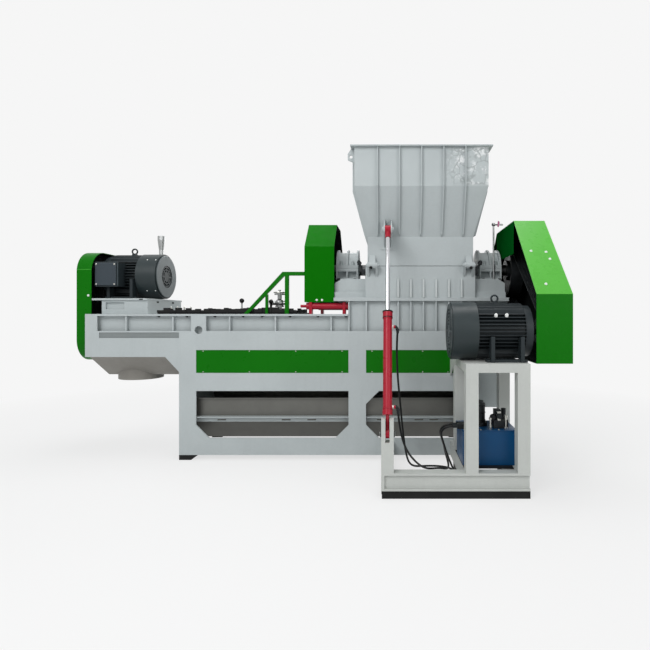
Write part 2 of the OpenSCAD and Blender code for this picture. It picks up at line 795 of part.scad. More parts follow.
module rotor_wheels() placed() color(dark) {
    difference() {
        bar_x(wheel_x0, wheel_x0 + wheel_w, mid_y, rotor_z, flywheel_r);
        bar_x(wheel_x0 - 1, wheel_x0 + wheel_w + 1, mid_y, rotor_z, shaft_r + running);
        difference() {
            bar_x(wheel_x0 + wheel_w - 35, wheel_x0 + wheel_w + 1, mid_y, rotor_z, flywheel_r - 45);
            bar_x(wheel_x0 + wheel_w - 36, wheel_x0 + wheel_w + 2, mid_y, rotor_z, 110);
        }
    }
    difference() {
        bar_x(pulley_x0, pulley_x0 + pulley_w, mid_y, rotor_z, rotor_pulley_r);
        bar_x(pulley_x0 - 1, pulley_x0 + pulley_w + 1, mid_y, rotor_z, shaft_r + running);
        difference() {
            bar_x(pulley_x0 - 2, pulley_x0 + 35, mid_y, rotor_z, rotor_pulley_r - 40);
            bar_x(pulley_x0 - 3, pulley_x0 + 36, mid_y, rotor_z, 110);
        }
    }
}

belt_count = 4;
belt_w = 22;

module drive_belts() placed() color(dark) {
    bar_x(pulley_x0, pulley_x0 + pulley_w, -crusher_motor_out, crusher_axis_z, motor_pulley_r);
    bar_x(crusher_motor_end + crusher_motor_l, pulley_x0, -crusher_motor_out, crusher_axis_z, 32);
    for (i = [0 : belt_count - 1])
        belt_band(pulley_x0 + 8 + i * 30, pulley_x0 + 8 + i * 30 + belt_w,
            [mid_y, rotor_z], rotor_pulley_r, [-crusher_motor_out, crusher_axis_z], motor_pulley_r);
}

// Hinge of the upper housing, in front of the split
hinge_out = 45;
hinge_pin_r = 16;
hinge_r = 32;
hinge_w = 60;
hinge_ear_t = 20;
hinge_x = base_x0 + 70;
hinge_z = split_z + split_gap / 2;
hinge_side_gap = 1;

module hinge_ears() placed() color(paint) both_sides() {
    for (x = [hinge_x - hinge_w / 2 - hinge_ear_t - hinge_side_gap, hinge_x + hinge_w / 2 + hinge_side_gap])
        along_x(x, x + hinge_ear_t) {
            translate([-hinge_out, hinge_z]) circle(r = hinge_r - 2);
            polygon([
                [-hinge_out - hinge_r + 6, hinge_z - 10], [base_y0, hinge_z - 110],
                [base_y0, hinge_z - 12], [-hinge_out, hinge_z - 12]
            ]);
        }
    bar_x(hinge_x - hinge_w / 2 - hinge_ear_t - 14, hinge_x + hinge_w / 2 + hinge_ear_t + 14, -hinge_out, hinge_z, hinge_pin_r);
}

bolt_lean = 25;
bolt_l = 130;
bolt_r = 13;
bolt_places = [140, 860];

module swing_bolts() placed() color(dark) both_sides() for (y = bolt_places) {
    block([base_x0 - 45, y - 30, split_z - 75], [base_x0, y - 12, split_z - 20]);
    block([base_x0 - 45, y + 12, split_z - 75], [base_x0, y + 30, split_z - 20]);
    bar_y(y - 38, y + 38, base_x0 - 28, split_z - 48, 9);
    translate([base_x0 - 28, y, split_z - 48]) rotate([0, -bolt_lean, 0]) {
        cylinder(h = bolt_l, r = bolt_r - 2);
        translate([0, 0, bolt_l - 42]) cylinder(h = 12, r = 24);
        translate([0, 0, bolt_l - 30]) cylinder(h = 22, r = 20, $fn = 6);
    }
}

// Upper housing and hopper, which tilt together
chamber_z0 = split_z + split_gap;
chamber_x0 = crusher_x - chamber_w / 2;
chamber_x1 = crusher_x + chamber_w / 2;
chamber_y0 = mid_y - chamber_d / 2;
chamber_y1 = mid_y + chamber_d / 2;
bin_x0 = crusher_x - bin_w / 2;
bin_x1 = crusher_x + bin_w / 2;
bin_y0 = mid_y - bin_d / 2;
bin_y1 = mid_y + bin_d / 2;

module upper_chamber() placed() color(paint) {
    difference() {
        block([chamber_x0, chamber_y0, chamber_z0], [chamber_x1, chamber_y1, chamber_top]);
        block([chamber_x0 + hopper_t, chamber_y0 + hopper_t, chamber_z0 - 1],
              [chamber_x1 - hopper_t, chamber_y1 - hopper_t, chamber_top + 1]);
        bar_x(chamber_x0 - 1, chamber_x1 + 1, mid_y, rotor_z, shaft_r + shaft_clear);
    }
    both_sides() difference() {
        along_x(hinge_x - hinge_w / 2, hinge_x + hinge_w / 2) {
            translate([-hinge_out, hinge_z]) circle(r = hinge_r);
            polygon([
                [-hinge_out, hinge_z + 8], [chamber_y0, hinge_z + 8],
                [chamber_y0, hinge_z + 110], [-hinge_out - hinge_r + 8, hinge_z + 10]
            ]);
        }
        bar_x(hinge_x - hinge_w, hinge_x + hinge_w, -hinge_out, hinge_z, hinge_pin_r + running);
    }
}

module taper_outline(centre, low, high, inset, over) {
    low_half = low / 2 - inset;
    high_half = high / 2 - inset;
    polygon([
        [centre - low_half, chamber_top - over], [centre + low_half, chamber_top - over],
        [centre + low_half, chamber_top], [centre + high_half, bin_z],
        [centre + high_half, bin_z + over], [centre - high_half, bin_z + over],
        [centre - high_half, bin_z], [centre - low_half, chamber_top]
    ]);
}

module taper_solid(inset, over) intersection() {
    along_y(bin_y0 - 1, bin_y1 + 1) taper_outline(crusher_x, chamber_w, bin_w, inset, over);
    along_x(bin_x0 - 1, bin_x1 + 1) taper_outline(mid_y, chamber_d, bin_d, inset, over);
}

module hopper_taper() placed() color(paint) difference() {
    taper_solid(0, 0);
    taper_solid(hopper_t, 1);
}

module hopper_bin() placed() color(paint) difference() {
    block([bin_x0, bin_y0, bin_z], [bin_x1, bin_y1, rim_z - hopper_t]);
    block([bin_x0 + hopper_t, bin_y0 + hopper_t, bin_z - 1], [bin_x1 - hopper_t, bin_y1 - hopper_t, rim_z]);
}

hook_y = 60;

module hopper_rim() placed() color(paint) {
    difference() {
        block([bin_x0 - rim_w, bin_y0 - rim_w, rim_z - hopper_t], [bin_x1 + rim_w, bin_y1 + rim_w, rim_z]);
        block([bin_x0 + hopper_t, bin_y0 + hopper_t, rim_z - hopper_t - 1],
              [bin_x1 - hopper_t, bin_y1 - hopper_t, rim_z + 1]);
    }
    along_y(bin_y0 + hook_y, bin_y0 + hook_y + 16) difference() {
        polygon([
            [bin_x0, rim_z - hopper_t], [bin_x0 - rim_w, rim_z - hopper_t], [bin_x0 - 70, rim_z - 60],
            [bin_x0 - 70, rim_z - 120], [bin_x0, rim_z - 150]
        ]);
        translate([bin_x0 - 38, rim_z - 88]) circle(r = 16);
    }
}

hopper_rib_t = 10;
hopper_rib_h = 34;
rib_counts = [-2 : 2];

// A rib on a wall whose foot is at low and whose upper part is at high
module rib_outline(low, high) polygon([
    [low, chamber_top], [high, bin_z], [high, rim_z - hopper_t], [high - hopper_rib_h, rim_z - hopper_t],
    [high - hopper_rib_h, bin_z], [low - hopper_rib_h, chamber_top + 20]
]);

module hopper_ribs() placed() color(paint) {
    for (i = rib_counts) {
        x = crusher_x + i * hopper_rib_pitch - hopper_rib_t / 2;
        y = mid_y + i * hopper_rib_pitch - hopper_rib_t / 2;
        front_and_rear() along_x(x, x + hopper_rib_t) rib_outline(chamber_y0, bin_y0);
        both_sides() along_y(y, y + hopper_rib_t) rib_outline(chamber_x0, bin_x0);
    }
}

// Lift cylinder, drawn along its own axis and then leaned back
rod_eye_w = 54;
rod_eye_r = 40;
cheek_t = 12;
cheek_gap = 1;
base_eye_w = 32;
base_eye_r = 34;
lift_rise = rod_pin_z - base_pin_z;
lift_run = base_pin_out - rod_pin_out;
lift_lean = atan2(lift_run, lift_rise);
lift_span = norm([lift_rise, lift_run]);
gland_l = 70;
gland_r = barrel_r + 5;
barrel_foot = 150;
rod_inside = 260;
upper_port = 905;
lower_port = 215;
port_l = 28;
port_r = 14;

module lift_place() translate([lift_x, -base_pin_out, base_pin_z]) rotate([-lift_lean, 0, 0]) children();

module lift_bracket() placed() color(paint) {
    for (side = [-1, 1]) {
        inner = rod_eye_w / 2 + cheek_gap;
        x0 = lift_x + (side > 0 ? inner : -inner - cheek_t);
        along_x(x0, x0 + cheek_t) difference() {
            union() {
                translate([-rod_pin_out, rod_pin_z]) circle(r = rod_eye_r + 2);
                polygon([
                    [chamber_y0, chamber_top - 110], [chamber_y0, chamber_top],
                    [taper_y(chamber_top + 160), chamber_top + 160],
                    [-rod_pin_out - 8, rod_pin_z + rod_eye_r + 1], [-rod_pin_out + 20, rod_pin_z - rod_eye_r + 4]
                ]);
            }
        }
        bar_x(side > 0 ? x0 + cheek_t : x0 - 14, side > 0 ? x0 + cheek_t + 14 : x0,
              -rod_pin_out, rod_pin_z, lift_pin_r + 6);
    }
    block([lift_x - 70, chamber_y0 - 10, chamber_top - 130], [lift_x + 70, chamber_y0, chamber_top]);
}

// Front face of the taper at a height
function taper_y(z) = chamber_y0 + (bin_y0 - chamber_y0) * (z - chamber_top) / (bin_z - chamber_top);

module lift_barrel() placed() color(red) lift_place() {
    difference() {
        union() {
            translate([0, 0, barrel_foot]) cylinder(h = barrel_l - barrel_foot, r = barrel_r);
            translate([0, 0, barrel_foot]) cylinder(h = 45, r = gland_r - 2);
            translate([0, 0, barrel_l - gland_l]) cylinder(h = gland_l, r = gland_r);
        }
        translate([0, 0, barrel_foot + 40]) cylinder(h = barrel_l, r = rod_r + running);
        translate([0, 0, barrel_foot + 40]) cylinder(h = barrel_l - barrel_foot - 40 - gland_l, r = barrel_r - 7);
    }
    difference() {
        union() {
            cylinder(h = barrel_foot, r = base_eye_w / 2 - 1);
            bar_x(-base_eye_w / 2, base_eye_w / 2, 0, 0, base_eye_r);
        }
        bar_x(-base_eye_w, base_eye_w, 0, 0, lift_pin_r + running);
    }
    for (s = [lower_port, upper_port]) bar_x(barrel_r - 3, barrel_r + port_l, 0, s, port_r);
}

module lift_rod() placed() color([0.8, 0.8, 0.82]) lift_place()
    translate([0, 0, barrel_l - rod_inside]) cylinder(h = lift_span - rod_eye_r + 4 - barrel_l + rod_inside, r = rod_r);

module rod_eye() placed() color(red) lift_place() difference() {
    union() {
        bar_x(-rod_eye_w / 2, rod_eye_w / 2, 0, lift_span, rod_eye_r);
        translate([0, 0, lift_span - rod_eye_r - 45]) cylinder(h = 60, r = rod_r + 6);
    }
    translate([0, 0, lift_span - rod_eye_r - 46]) cylinder(h = 50, r = rod_r + running);
}

// Skid, post and motor stand
beam_x = [skid_left, stand_left, skid_right - post_w];
stand_front = -skid_out;
stand_rear = -skid_out + stand_d;
stand_under = stand_z - stand_top_h;

module skid() placed() color(stand_paint) {
    difference() {
        block([skid_left, -skid_out, pad_h], [skid_right, -skid_out + post_w, skid_z]);
        block([skid_left + 25, -skid_out - 1, pad_h + 18], [skid_right + 1, -skid_out + 22, skid_z - 18]);
    }
    for (x = beam_x) block([x, -skid_out + post_w, pad_h], [x + post_w, x < skid_right - 2 * post_w ? 0 : stand_rear, skid_z]);
    block([stand_left + post_w, stand_rear - post_w, pad_h], [skid_right - post_w, stand_rear, skid_z]);
}

module skid_pads() placed() color(dark) {
    block([skid_left + 5, -skid_out + 2, 0], [skid_right, -skid_out + post_w, pad_h]);
    for (x = beam_x) block([x, -skid_out + post_w, 0], [x + post_w - 5, stand_rear, pad_h]);
    block([stand_left + post_w, -skid_out + post_w + 20, skid_z], [skid_right - post_w, stand_rear - post_w - 15, skid_z + 6]);
    block([stand_left + 4, -skid_out + post_w + 20, skid_z], [stand_left + post_w, stand_rear - post_w - 15, skid_z + 6]);
}

fork_gap = base_eye_w + 2;
fork_top = base_pin_z + 120;
fork_x0 = lift_x - post_w / 2;
fork_slot_z = base_pin_z - 60;

module cylinder_post() placed() color(stand_paint) {
    difference() {
        block([fork_x0, -skid_out, skid_z], [fork_x0 + post_w, -skid_out + post_w, fork_top]);
        block([lift_x - fork_gap / 2, -skid_out - 1, fork_slot_z], [lift_x + fork_gap / 2, -skid_out + post_w + 1, fork_top + 1]);
        bar_x(fork_x0 - 1, fork_x0 + post_w + 1, -base_pin_out, base_pin_z, lift_pin_r + running);
    }
    bar_x(fork_x0 - 12, fork_x0 + post_w + 12, -base_pin_out, base_pin_z, lift_pin_r);
}

gusset_h = 150;

module motor_stand() placed() color(stand_paint) {
    for (x = [stand_left, skid_right - post_w], y = [stand_front, stand_rear - post_w])
        block([x, y, skid_z], [x + post_w, y + post_w, stand_under]);
    difference() {
        block([stand_left, stand_front, stand_under], [skid_right, stand_rear, stand_z]);
        block([stand_left + post_w, stand_front + post_w, stand_under - 1],
              [skid_right - post_w, stand_rear - post_w, stand_z - 14]);
    }
    block([stand_left, stand_rear, stand_under], [stand_left + post_w, 0, stand_z]);
    along_x(stand_left, stand_left + 12)
        polygon([[0, stand_under], [stand_rear, stand_under], [0, stand_under - gusset_h]]);
}

crusher_axis_z = stand_z + motor_h;

module crusher_motor_place() translate([crusher_motor_end, -crusher_motor_out, crusher_axis_z]) children();

module crusher_motor() placed() color(motor_grey) crusher_motor_place() motor_case(crusher_motor_l);

module crusher_motor_cowl() placed() color(motor_grey) crusher_motor_place() motor_cowl();

// Guard of the crusher drive
right_guard_front = 950;
right_guard_z = 1054;
right_guard_face = 1615;
right_guard_rear = frame_d - 50;
lip_h = 140;

function right_guard_points(inset) = [
    [-right_guard_front + inset, right_guard_z + inset], [-right_guard_front + inset, right_guard_face],
    [-370 + inset, right_guard_top - inset], [right_guard_rear - 220, right_guard_top - inset],
    [right_guard_rear - inset, right_guard_top - 260], [right_guard_rear - inset, rotor_z - 250],
    [right_guard_rear - 330, right_guard_z + inset]
];

module right_guard() placed() color(green) {
    difference() {
        along_x(right_guard_x, guard_right) polygon(right_guard_points(0));
        along_x(right_guard_x - 1, guard_right - guard_t) polygon(right_guard_points(guard_t));
    }
    along_x(right_guard_x, right_guard_x + guard_t) polygon([
        [-370 + guard_t, right_guard_top - guard_t], [right_guard_rear - 220, right_guard_top - guard_t],
        [right_guard_rear - 220, right_guard_top - lip_h], [-370 - 80, right_guard_top - lip_h]
    ]);
}

console_z = 510;

module right_console() placed() color(paint)
    block([base_x1, 100, console_z], [right_guard_x, frame_d - 100, band_t]);

// Hydraulic unit under the motor
tank_x0 = stand_left + 5;
tank_front = -skid_out + 190;
tank_z = skid_z + 6;

module hydraulic_tank() placed() color(blue) {
    block([tank_x0, tank_front, tank_z], [tank_x0 + tank_w, tank_front + tank_d, tank_z + tank_h - 8]);
    block([tank_x0 - 6, tank_front - 6, tank_z + tank_h - 8], [tank_x0 + tank_w + 6, tank_front + tank_d + 6, tank_z + tank_h]);
}

pump_z = tank_z + tank_h;

module pump_unit() placed() color(dark) {
    translate([tank_x0 + 160, tank_front + 200, pump_z]) {
        cylinder(h = 30, r = 80);
        cylinder(h = 190, r = 62);
        translate([0, 0, 190]) cylinder(h = 20, r = 50);
    }
    block([tank_x0 + 270, tank_front + 60, pump_z], [tank_x0 + 390, tank_front + 180, pump_z + 70]);
    block([tank_x0 + 285, tank_front + 75, pump_z + 70], [tank_x0 + 335, tank_front + 165, pump_z + 150]);
    bar_y(tank_front + 20, tank_front + 75, tank_x0 + 310, pump_z + 110, 22);
    translate([tank_x0 + 400, tank_front + 270, pump_z]) cylinder(h = 130, r = 20);
    for (y = fitting_places) {
        block([tank_x0 - 40, y - 20, pump_z], [tank_x0 + 60, y + 20, pump_z + 40]);
        bar_x(tank_x0 - 75, tank_x0 - 40, y, pump_z + 20, port_r);
    }
}

pipe_x = 1090;
pipe_y = 250;
pipe_r = 9;
pipe_top = 2405;

module grease_pipe() placed() color(steel) {
    translate([pipe_x, pipe_y, flange_z + 195]) cylinder(h = pipe_top - flange_z - 195, r = pipe_r);
    translate([pipe_x, pipe_y, pipe_top - 4]) sphere(r = 20);
    bar_x(pipe_x, right_guard_x - 12, pipe_y, pipe_top - 4, pipe_r);
    bar_y(pipe_y - 34, pipe_y, pipe_x + 45, pipe_top - 4, 6);
    block([pipe_x + 38, pipe_y - 40, pipe_top - 34], [pipe_x + 52, pipe_y - 34, pipe_top + 26]);
}

// Hydraulic hoses. Each route's points were chosen by hand, from the barrel's port
// down to the floor, along it and up to the tank's fitting
fitting_places = [tank_front + 60, tank_front + 130];

lift_hose_route = [
    [46, -634, 1348], [62, -634, 1345], [80, -632, 1328], [88, -628, 1300], [90, -618, 1240],
    [90, -600, 1150], [92, -575, 1040], [96, -545, 920], [102, -510, 800], [110, -470, 680],
    [118, -430, 560], [126, -390, 440], [136, -350, 320], [150, -310, 210], [172, -275, 120],
    [205, -248, 55], [255, -232, 18], [310, -228, 10], [370, -232, 10], [425, -245, 14],
    [470, -275, 45], [500, -320, 100], [516, -380, 175], [524, -450, 260], [526, -530, 345],
    [522, -610, 425], [512, -680, 482], [508, -725, 508], [514, -746, 515], [530, -750, 516]
];
return_hose_route = [
    [46, -875, 702], [62, -875, 700], [80, -872, 686], [90, -862, 655], [98, -842, 600],
    [106, -810, 530], [116, -765, 450], [130, -705, 360], [150, -630, 270], [176, -545, 190],
    [210, -455, 120], [250, -375, 60], [296, -315, 20], [345, -280, 10], [395, -275, 10],
    [440, -290, 22], [470, -325, 65], [486, -370, 130], [494, -425, 210], [496, -490, 290],
    [494, -555, 370], [490, -610, 440], [488, -650, 490], [496, -674, 512], [512, -680, 516],
    [530, -680, 516]
];

function pick(list, i) = list[max(0, min(len(list) - 1, i))];

function ring(centre, dir, r, sides) =
    let (side = cross(dir, [0, 1, 0]), u = side / norm(side), v = cross(dir, u))
    [for (k = [0 : sides - 1]) centre + r * (cos(360 * k / sides) * u + sin(360 * k / sides) * v)];

module hose(route, r, sides = 8) {
    n = len(route);
    points = [for (i = [0 : n - 1])
        let (d = pick(route, i + 1) - pick(route, i - 1))
        each ring(route[i], i == 0 || i == n - 1 ? [1, 0, 0] : d / norm(d), r, sides)];
    walls = [for (i = [0 : n - 2], k = [0 : sides - 1])
        [i * sides + k, i * sides + (k + 1) % sides, (i + 1) * sides + (k + 1) % sides, (i + 1) * sides + k]];
    first = [[for (k = [sides - 1 : -1 : 0]) k]];
    last = [[for (k = [0 : sides - 1]) (n - 1) * sides + k]];
    polyhedron(points, concat(walls, first, last));
}

module lift_hose() placed() color(dark) hose(lift_hose_route, hose_r);

module return_hose() placed() color(dark) hose(return_hose_route, hose_r);

front_plate();
rear_plate();
frame_ends();
green_panels();
feet();
drain_tray();
tray_ledges();
trough_body();
trough_ribs();
deck();
trough_covers();
outlet_chute();
outlet_spigot();
left_guard();
screw_motor();
screw_motor_cowl();
motor_pedestal();
screw_drive();
vent_pipe();
guard_brace();
water_valve();
flywheel_guard();
ejector_cylinder();
crusher_base();
lower_housing();
bearing_pedestals();
bearing_seats();
bearing_caps();
rotor();
rotor_wheels();
hinge_ears();
swing_bolts();
upper_chamber();
hopper_taper();
hopper_bin();
hopper_rim();
hopper_ribs();
lift_bracket();
lift_barrel();
lift_rod();
rod_eye();
skid();
skid_pads();
cylinder_post();
motor_stand();
crusher_motor();
crusher_motor_cowl();
drive_belts();
right_guard();
right_console();
hydraulic_tank();
pump_unit();
grease_pipe();
lift_hose();
return_hose();
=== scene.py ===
"""Plastic crusher with a tilting hopper over a screw trough: finish, small parts, hoses, light and camera."""
import json
import math
import random

import bmesh
import bpy
from mathutils import Matrix, Vector


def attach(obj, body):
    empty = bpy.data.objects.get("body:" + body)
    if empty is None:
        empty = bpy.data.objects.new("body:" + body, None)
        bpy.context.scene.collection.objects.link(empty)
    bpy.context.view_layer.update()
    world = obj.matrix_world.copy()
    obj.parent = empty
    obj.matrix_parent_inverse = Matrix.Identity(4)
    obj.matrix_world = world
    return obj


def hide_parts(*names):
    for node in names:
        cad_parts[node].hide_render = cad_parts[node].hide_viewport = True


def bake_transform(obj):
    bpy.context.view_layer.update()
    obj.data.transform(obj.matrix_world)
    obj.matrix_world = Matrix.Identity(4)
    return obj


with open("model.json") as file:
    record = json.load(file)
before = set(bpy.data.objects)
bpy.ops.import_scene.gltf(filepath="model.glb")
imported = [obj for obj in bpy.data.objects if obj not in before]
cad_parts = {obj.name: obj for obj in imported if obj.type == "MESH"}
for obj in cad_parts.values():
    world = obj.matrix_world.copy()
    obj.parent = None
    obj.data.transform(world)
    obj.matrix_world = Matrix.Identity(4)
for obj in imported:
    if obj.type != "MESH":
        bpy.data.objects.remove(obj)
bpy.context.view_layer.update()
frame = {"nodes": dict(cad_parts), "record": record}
nodes = frame["nodes"]
bpy.context.scene.view_settings.view_transform = "Standard"

# The source gives its places from a datum, in millimetres. This is the datum in the row frame, in metres.
DATUM = Vector((0.860, -0.094, 0.0))
# The photograph: its width, its focal length and the point straight ahead of the camera, in pixels
IMAGE_SIZE = 650
FOCAL_PX = 475
EYE_PX = (390, 314)
# The camera's place from the datum in metres, and its sensor's width in millimetres
EYE = Vector((0.0, -4.75, 1.46))
SENSOR = 36.0


def at(x, y, z):
    """A point given in the source's millimetres, in the row frame in metres."""
    return DATUM + Vector((x, y, z)) / 1000


def camera():
    """A level camera that looks along Y, shifted so that the picture has the photograph's frame."""
    data = bpy.data.cameras.new("camera")
    data.sensor_width = SENSOR
    data.lens = FOCAL_PX / IMAGE_SIZE * SENSOR
    data.shift_x = (IMAGE_SIZE / 2 - EYE_PX[0]) / IMAGE_SIZE
    data.shift_y = (EYE_PX[1] - IMAGE_SIZE / 2) / IMAGE_SIZE
    obj = bpy.data.objects.new("camera", data)
    obj.location = DATUM + EYE
    obj.rotation_euler = (math.pi / 2, 0, 0)
    bpy.context.scene.collection.objects.link(obj)
    bpy.context.scene.camera = obj


camera()


# Materials
def srgb(r, g, b):
    """A colour given as 0 to 255 in sRGB, as linear light."""
    def linear(v):
        v = v / 255
        return v / 12.92 if v <= 0.04045 else ((v + 0.055) / 1.055) ** 2.4
    return (linear(r), linear(g), linear(b), 1.0)


def scaled(colour, k):
    """A colour made lighter or darker."""
    return tuple(min(1.0, c * k) for c in colour[:3]) + (1.0,)


class Nodes:
    """A short way to build a node tree: each call adds a node and links its inputs."""

    def __init__(self, owner):
        """Empties the node tree of a material or a world."""
        self.owner = owner
        owner.use_nodes = True
        self.tree = owner.node_tree
        self.tree.nodes.clear()

    def add(self, kind, inputs=(), **values):
        node = self.tree.nodes.new(kind)
        for key, value in values.items():
            setattr(node, key, value)
        for socket, value in dict(inputs).items():
            if isinstance(value, bpy.types.NodeSocket):
                self.tree.links.new(value, node.inputs[socket])
            else:
                node.inputs[socket].default_value = value
        return node

    def place(self):
        """The place on the object, in its own coordinates."""
        return self.add("ShaderNodeTexCoord").outputs["Object"]

    def noise(self, scale, detail=4, roughness=0.55, stretch=None):
        vector = self.place()
        if stretch:
            vector = self.add("ShaderNodeMapping", {"Vector": vector, "Scale": stretch}).outputs[0]
        return self.add("ShaderNodeTexNoise", {"Vector": vector, "Scale": scale, "Detail": detail,
                                               "Roughness": roughness}).outputs["Fac"]

    def ramp(self, fac, *stops):
        """A value turned into grey or colour by stops of a position and what it shows there."""
        node = self.add("ShaderNodeValToRGB", {"Fac": fac})
        ramp = node.color_ramp
        while len(ramp.elements) < len(stops):
            ramp.elements.new(0.5)
        for element, (position, colour) in zip(ramp.elements, stops):
            element.position = position
            element.color = colour if isinstance(colour, tuple) else (colour, colour, colour, 1)
        return node.outputs["Color"]

    def mix(self, fac, a, b):
        return self.add("ShaderNodeMix", {0: fac, 6: a, 7: b}, data_type="RGBA").outputs[2]

    def split(self, vector):
        return self.add("ShaderNodeSeparateXYZ", {"Vector": vector}).outputs

    def span(self, value, low, high):
        """A value's place between low and high, from 0 to 1."""
        return self.add("ShaderNodeMapRange", {"Value": value, "From Min": low, "From Max": high}).outputs[0]

    def times(self, a, b):
        return self.add("ShaderNodeMath", {0: a, 1: b}, operation="MULTIPLY").outputs[0]

    def larger(self, a, b):
        return self.add("ShaderNodeMath", {0: a, 1: b}, operation="MAXIMUM").outputs[0]

    def pale_rays(self):
        """1 for the rays that show the pale background, 0 for those that light the object."""
        path = self.add("ShaderNodeLightPath").outputs
        seen = self.larger(path["Is Camera Ray"], path["Is Glossy Ray"])
        return self.larger(seen, path["Is Transmission Ray"])

    def grey(self, kind, level, **more):
        """A shader of one plain grey."""
        return self.add(kind, {"Color": (level, level, level, 1), **more}).outputs[0]

    def shown(self, fac, a, b, output):
        """Mixes two shaders and makes the result the tree's output."""
        mix = self.add("ShaderNodeMixShader", {0: fac, 1: a, 2: b})
        self.add(output, {0: mix.outputs[0]})

    def warped(self, scale, amount):
        """The place, moved about by noise."""
        shift = self.add("ShaderNodeTexNoise", {"Vector": self.place(), "Scale": scale}).outputs["Color"]
        inputs = {0: amount, 4: self.place(), 5: shift}
        return self.add("ShaderNodeMix", inputs, data_type="VECTOR").outputs[1]

    def bump(self, height, strength, distance, normal=None):
        inputs = {"Height": height, "Strength": strength, "Distance": distance}
        if normal:
            inputs["Normal"] = normal
        return self.add("ShaderNodeBump", inputs).outputs["Normal"]

    def finish(self, **inputs):
        """Ends the tree with one surface shader and returns the material."""
        names = {"color": "Base Color", "shine": "Specular IOR Level"}
        shader = self.add("ShaderNodeBsdfPrincipled",
                          {names.get(k, k.capitalize()): v for k, v in inputs.items()})
        out = self.add("ShaderNodeOutputMaterial")
        self.tree.links.new(shader.outputs[0], out.inputs[0])
        return self.owner


def paint(name, colour, rough=0.42, peel=0.10, dust=0.25, shine=0.25, mottle=0.05):
    """Sprayed machine paint: slight mottle, orange peel, streaks of dust and uneven gloss."""
    m = Nodes(bpy.data.materials.new(name))
    large = m.ramp(m.noise(1.7, 3), (0.3, 0.0), (0.7, 1.0))
    body = m.mix(large, scaled(colour, 1 - mottle), scaled(colour, 1 + mottle))
    streaks = m.noise(5.5, 5, 0.6, (3.0, 3.0, 0.35))
    grime = m.ramp(streaks, (0.52, 0.0), (0.78, dust))
    dusty = (*[0.78 * c + 0.012 for c in colour[:3]], 1.0)
    body = m.mix(grime, body, dusty)
    fine = m.ramp(m.noise(46, 4), (0.35, 0.0), (0.75, 0.16))
    body = m.mix(fine, body, scaled(colour, 0.80))
    rough_map = m.ramp(m.noise(14, 3), (0.3, rough - 0.06), (0.7, rough + 0.08))
    waves = m.bump(m.noise(3.2, 2), 0.05, 0.02)
    normal = m.bump(m.noise(420, 2), peel, 0.0006, waves)
    return m.finish(color=body, roughness=rough_map, normal=normal, shine=shine)


def brushed(name, colour, rough=0.34, stretch=(1.0, 60.0, 60.0), stain=0.4, metallic=1.0):
    """Brushed or ground steel with fine lines along X and cloudy stains."""
    m = Nodes(bpy.data.materials.new(name))
    lines = m.noise(30, 4, 0.7, stretch)
    clouds = m.noise(4.5, 4)
    body = m.mix(m.ramp(clouds, (0.4, 0.0), (0.75, stain)), colour, scaled(colour, 0.62))
    body = m.mix(m.ramp(lines, (0.3, 0.0), (0.7, 0.25)), body, scaled(colour, 1.25))
    rough_map = m.ramp(lines, (0.3, rough - 0.08), (0.7, rough + 0.14))
    return m.finish(color=body, roughness=rough_map, metallic=metallic, normal=m.bump(lines, 0.12, 0.0008))


def cast(name, colour, rough=0.5, metallic=0.55, shine=0.3):
    """Dark cast or forged metal with a grainy skin and oil marks."""
    m = Nodes(bpy.data.materials.new(name))
    grain = m.noise(160, 3)
    body = m.mix(m.ramp(m.noise(9, 4), (0.35, 0.0), (0.7, 1.0)), scaled(colour, 0.75), scaled(colour, 1.35))
    rough_map = m.ramp(m.noise(22, 3), (0.3, rough - 0.14), (0.7, rough + 0.16))
    return m.finish(color=body, roughness=rough_map, metallic=metallic, shine=shine,
                    normal=m.bump(grain, 0.35, 0.0012))


def rubber(name, colour, rough=0.62):
    """Black rubber with paler worn clouds and a fine grain."""
    m = Nodes(bpy.data.materials.new(name))
    body = m.mix(m.ramp(m.noise(7, 5), (0.4, 0.0), (0.8, 0.7)), colour, scaled(colour, 2.2))
    return m.finish(color=body, roughness=rough, normal=m.bump(m.noise(260, 2), 0.25, 0.0008), shine=0.2)


def chrome(name):
    """Hard chrome with faint wipe marks along the rod."""
    m = Nodes(bpy.data.materials.new(name))
    rough_map = m.ramp(m.noise(60, 3, 0.6, (1, 1, 0.1)), (0.3, 0.05), (0.8, 0.14))
    return m.finish(color=(0.60, 0.61, 0.63, 1), metallic=1.0, roughness=rough_map,
                    normal=m.bump(m.noise(90, 2), 0.02, 0.0004))


# Where the film on the bin begins, from none to full, in the source's millimetres; the same mask places the
# painted highlights and the painted crease shade
FILM_FADE_X = (520, 640)
FILM_FADE_Z = (2700, 2730)


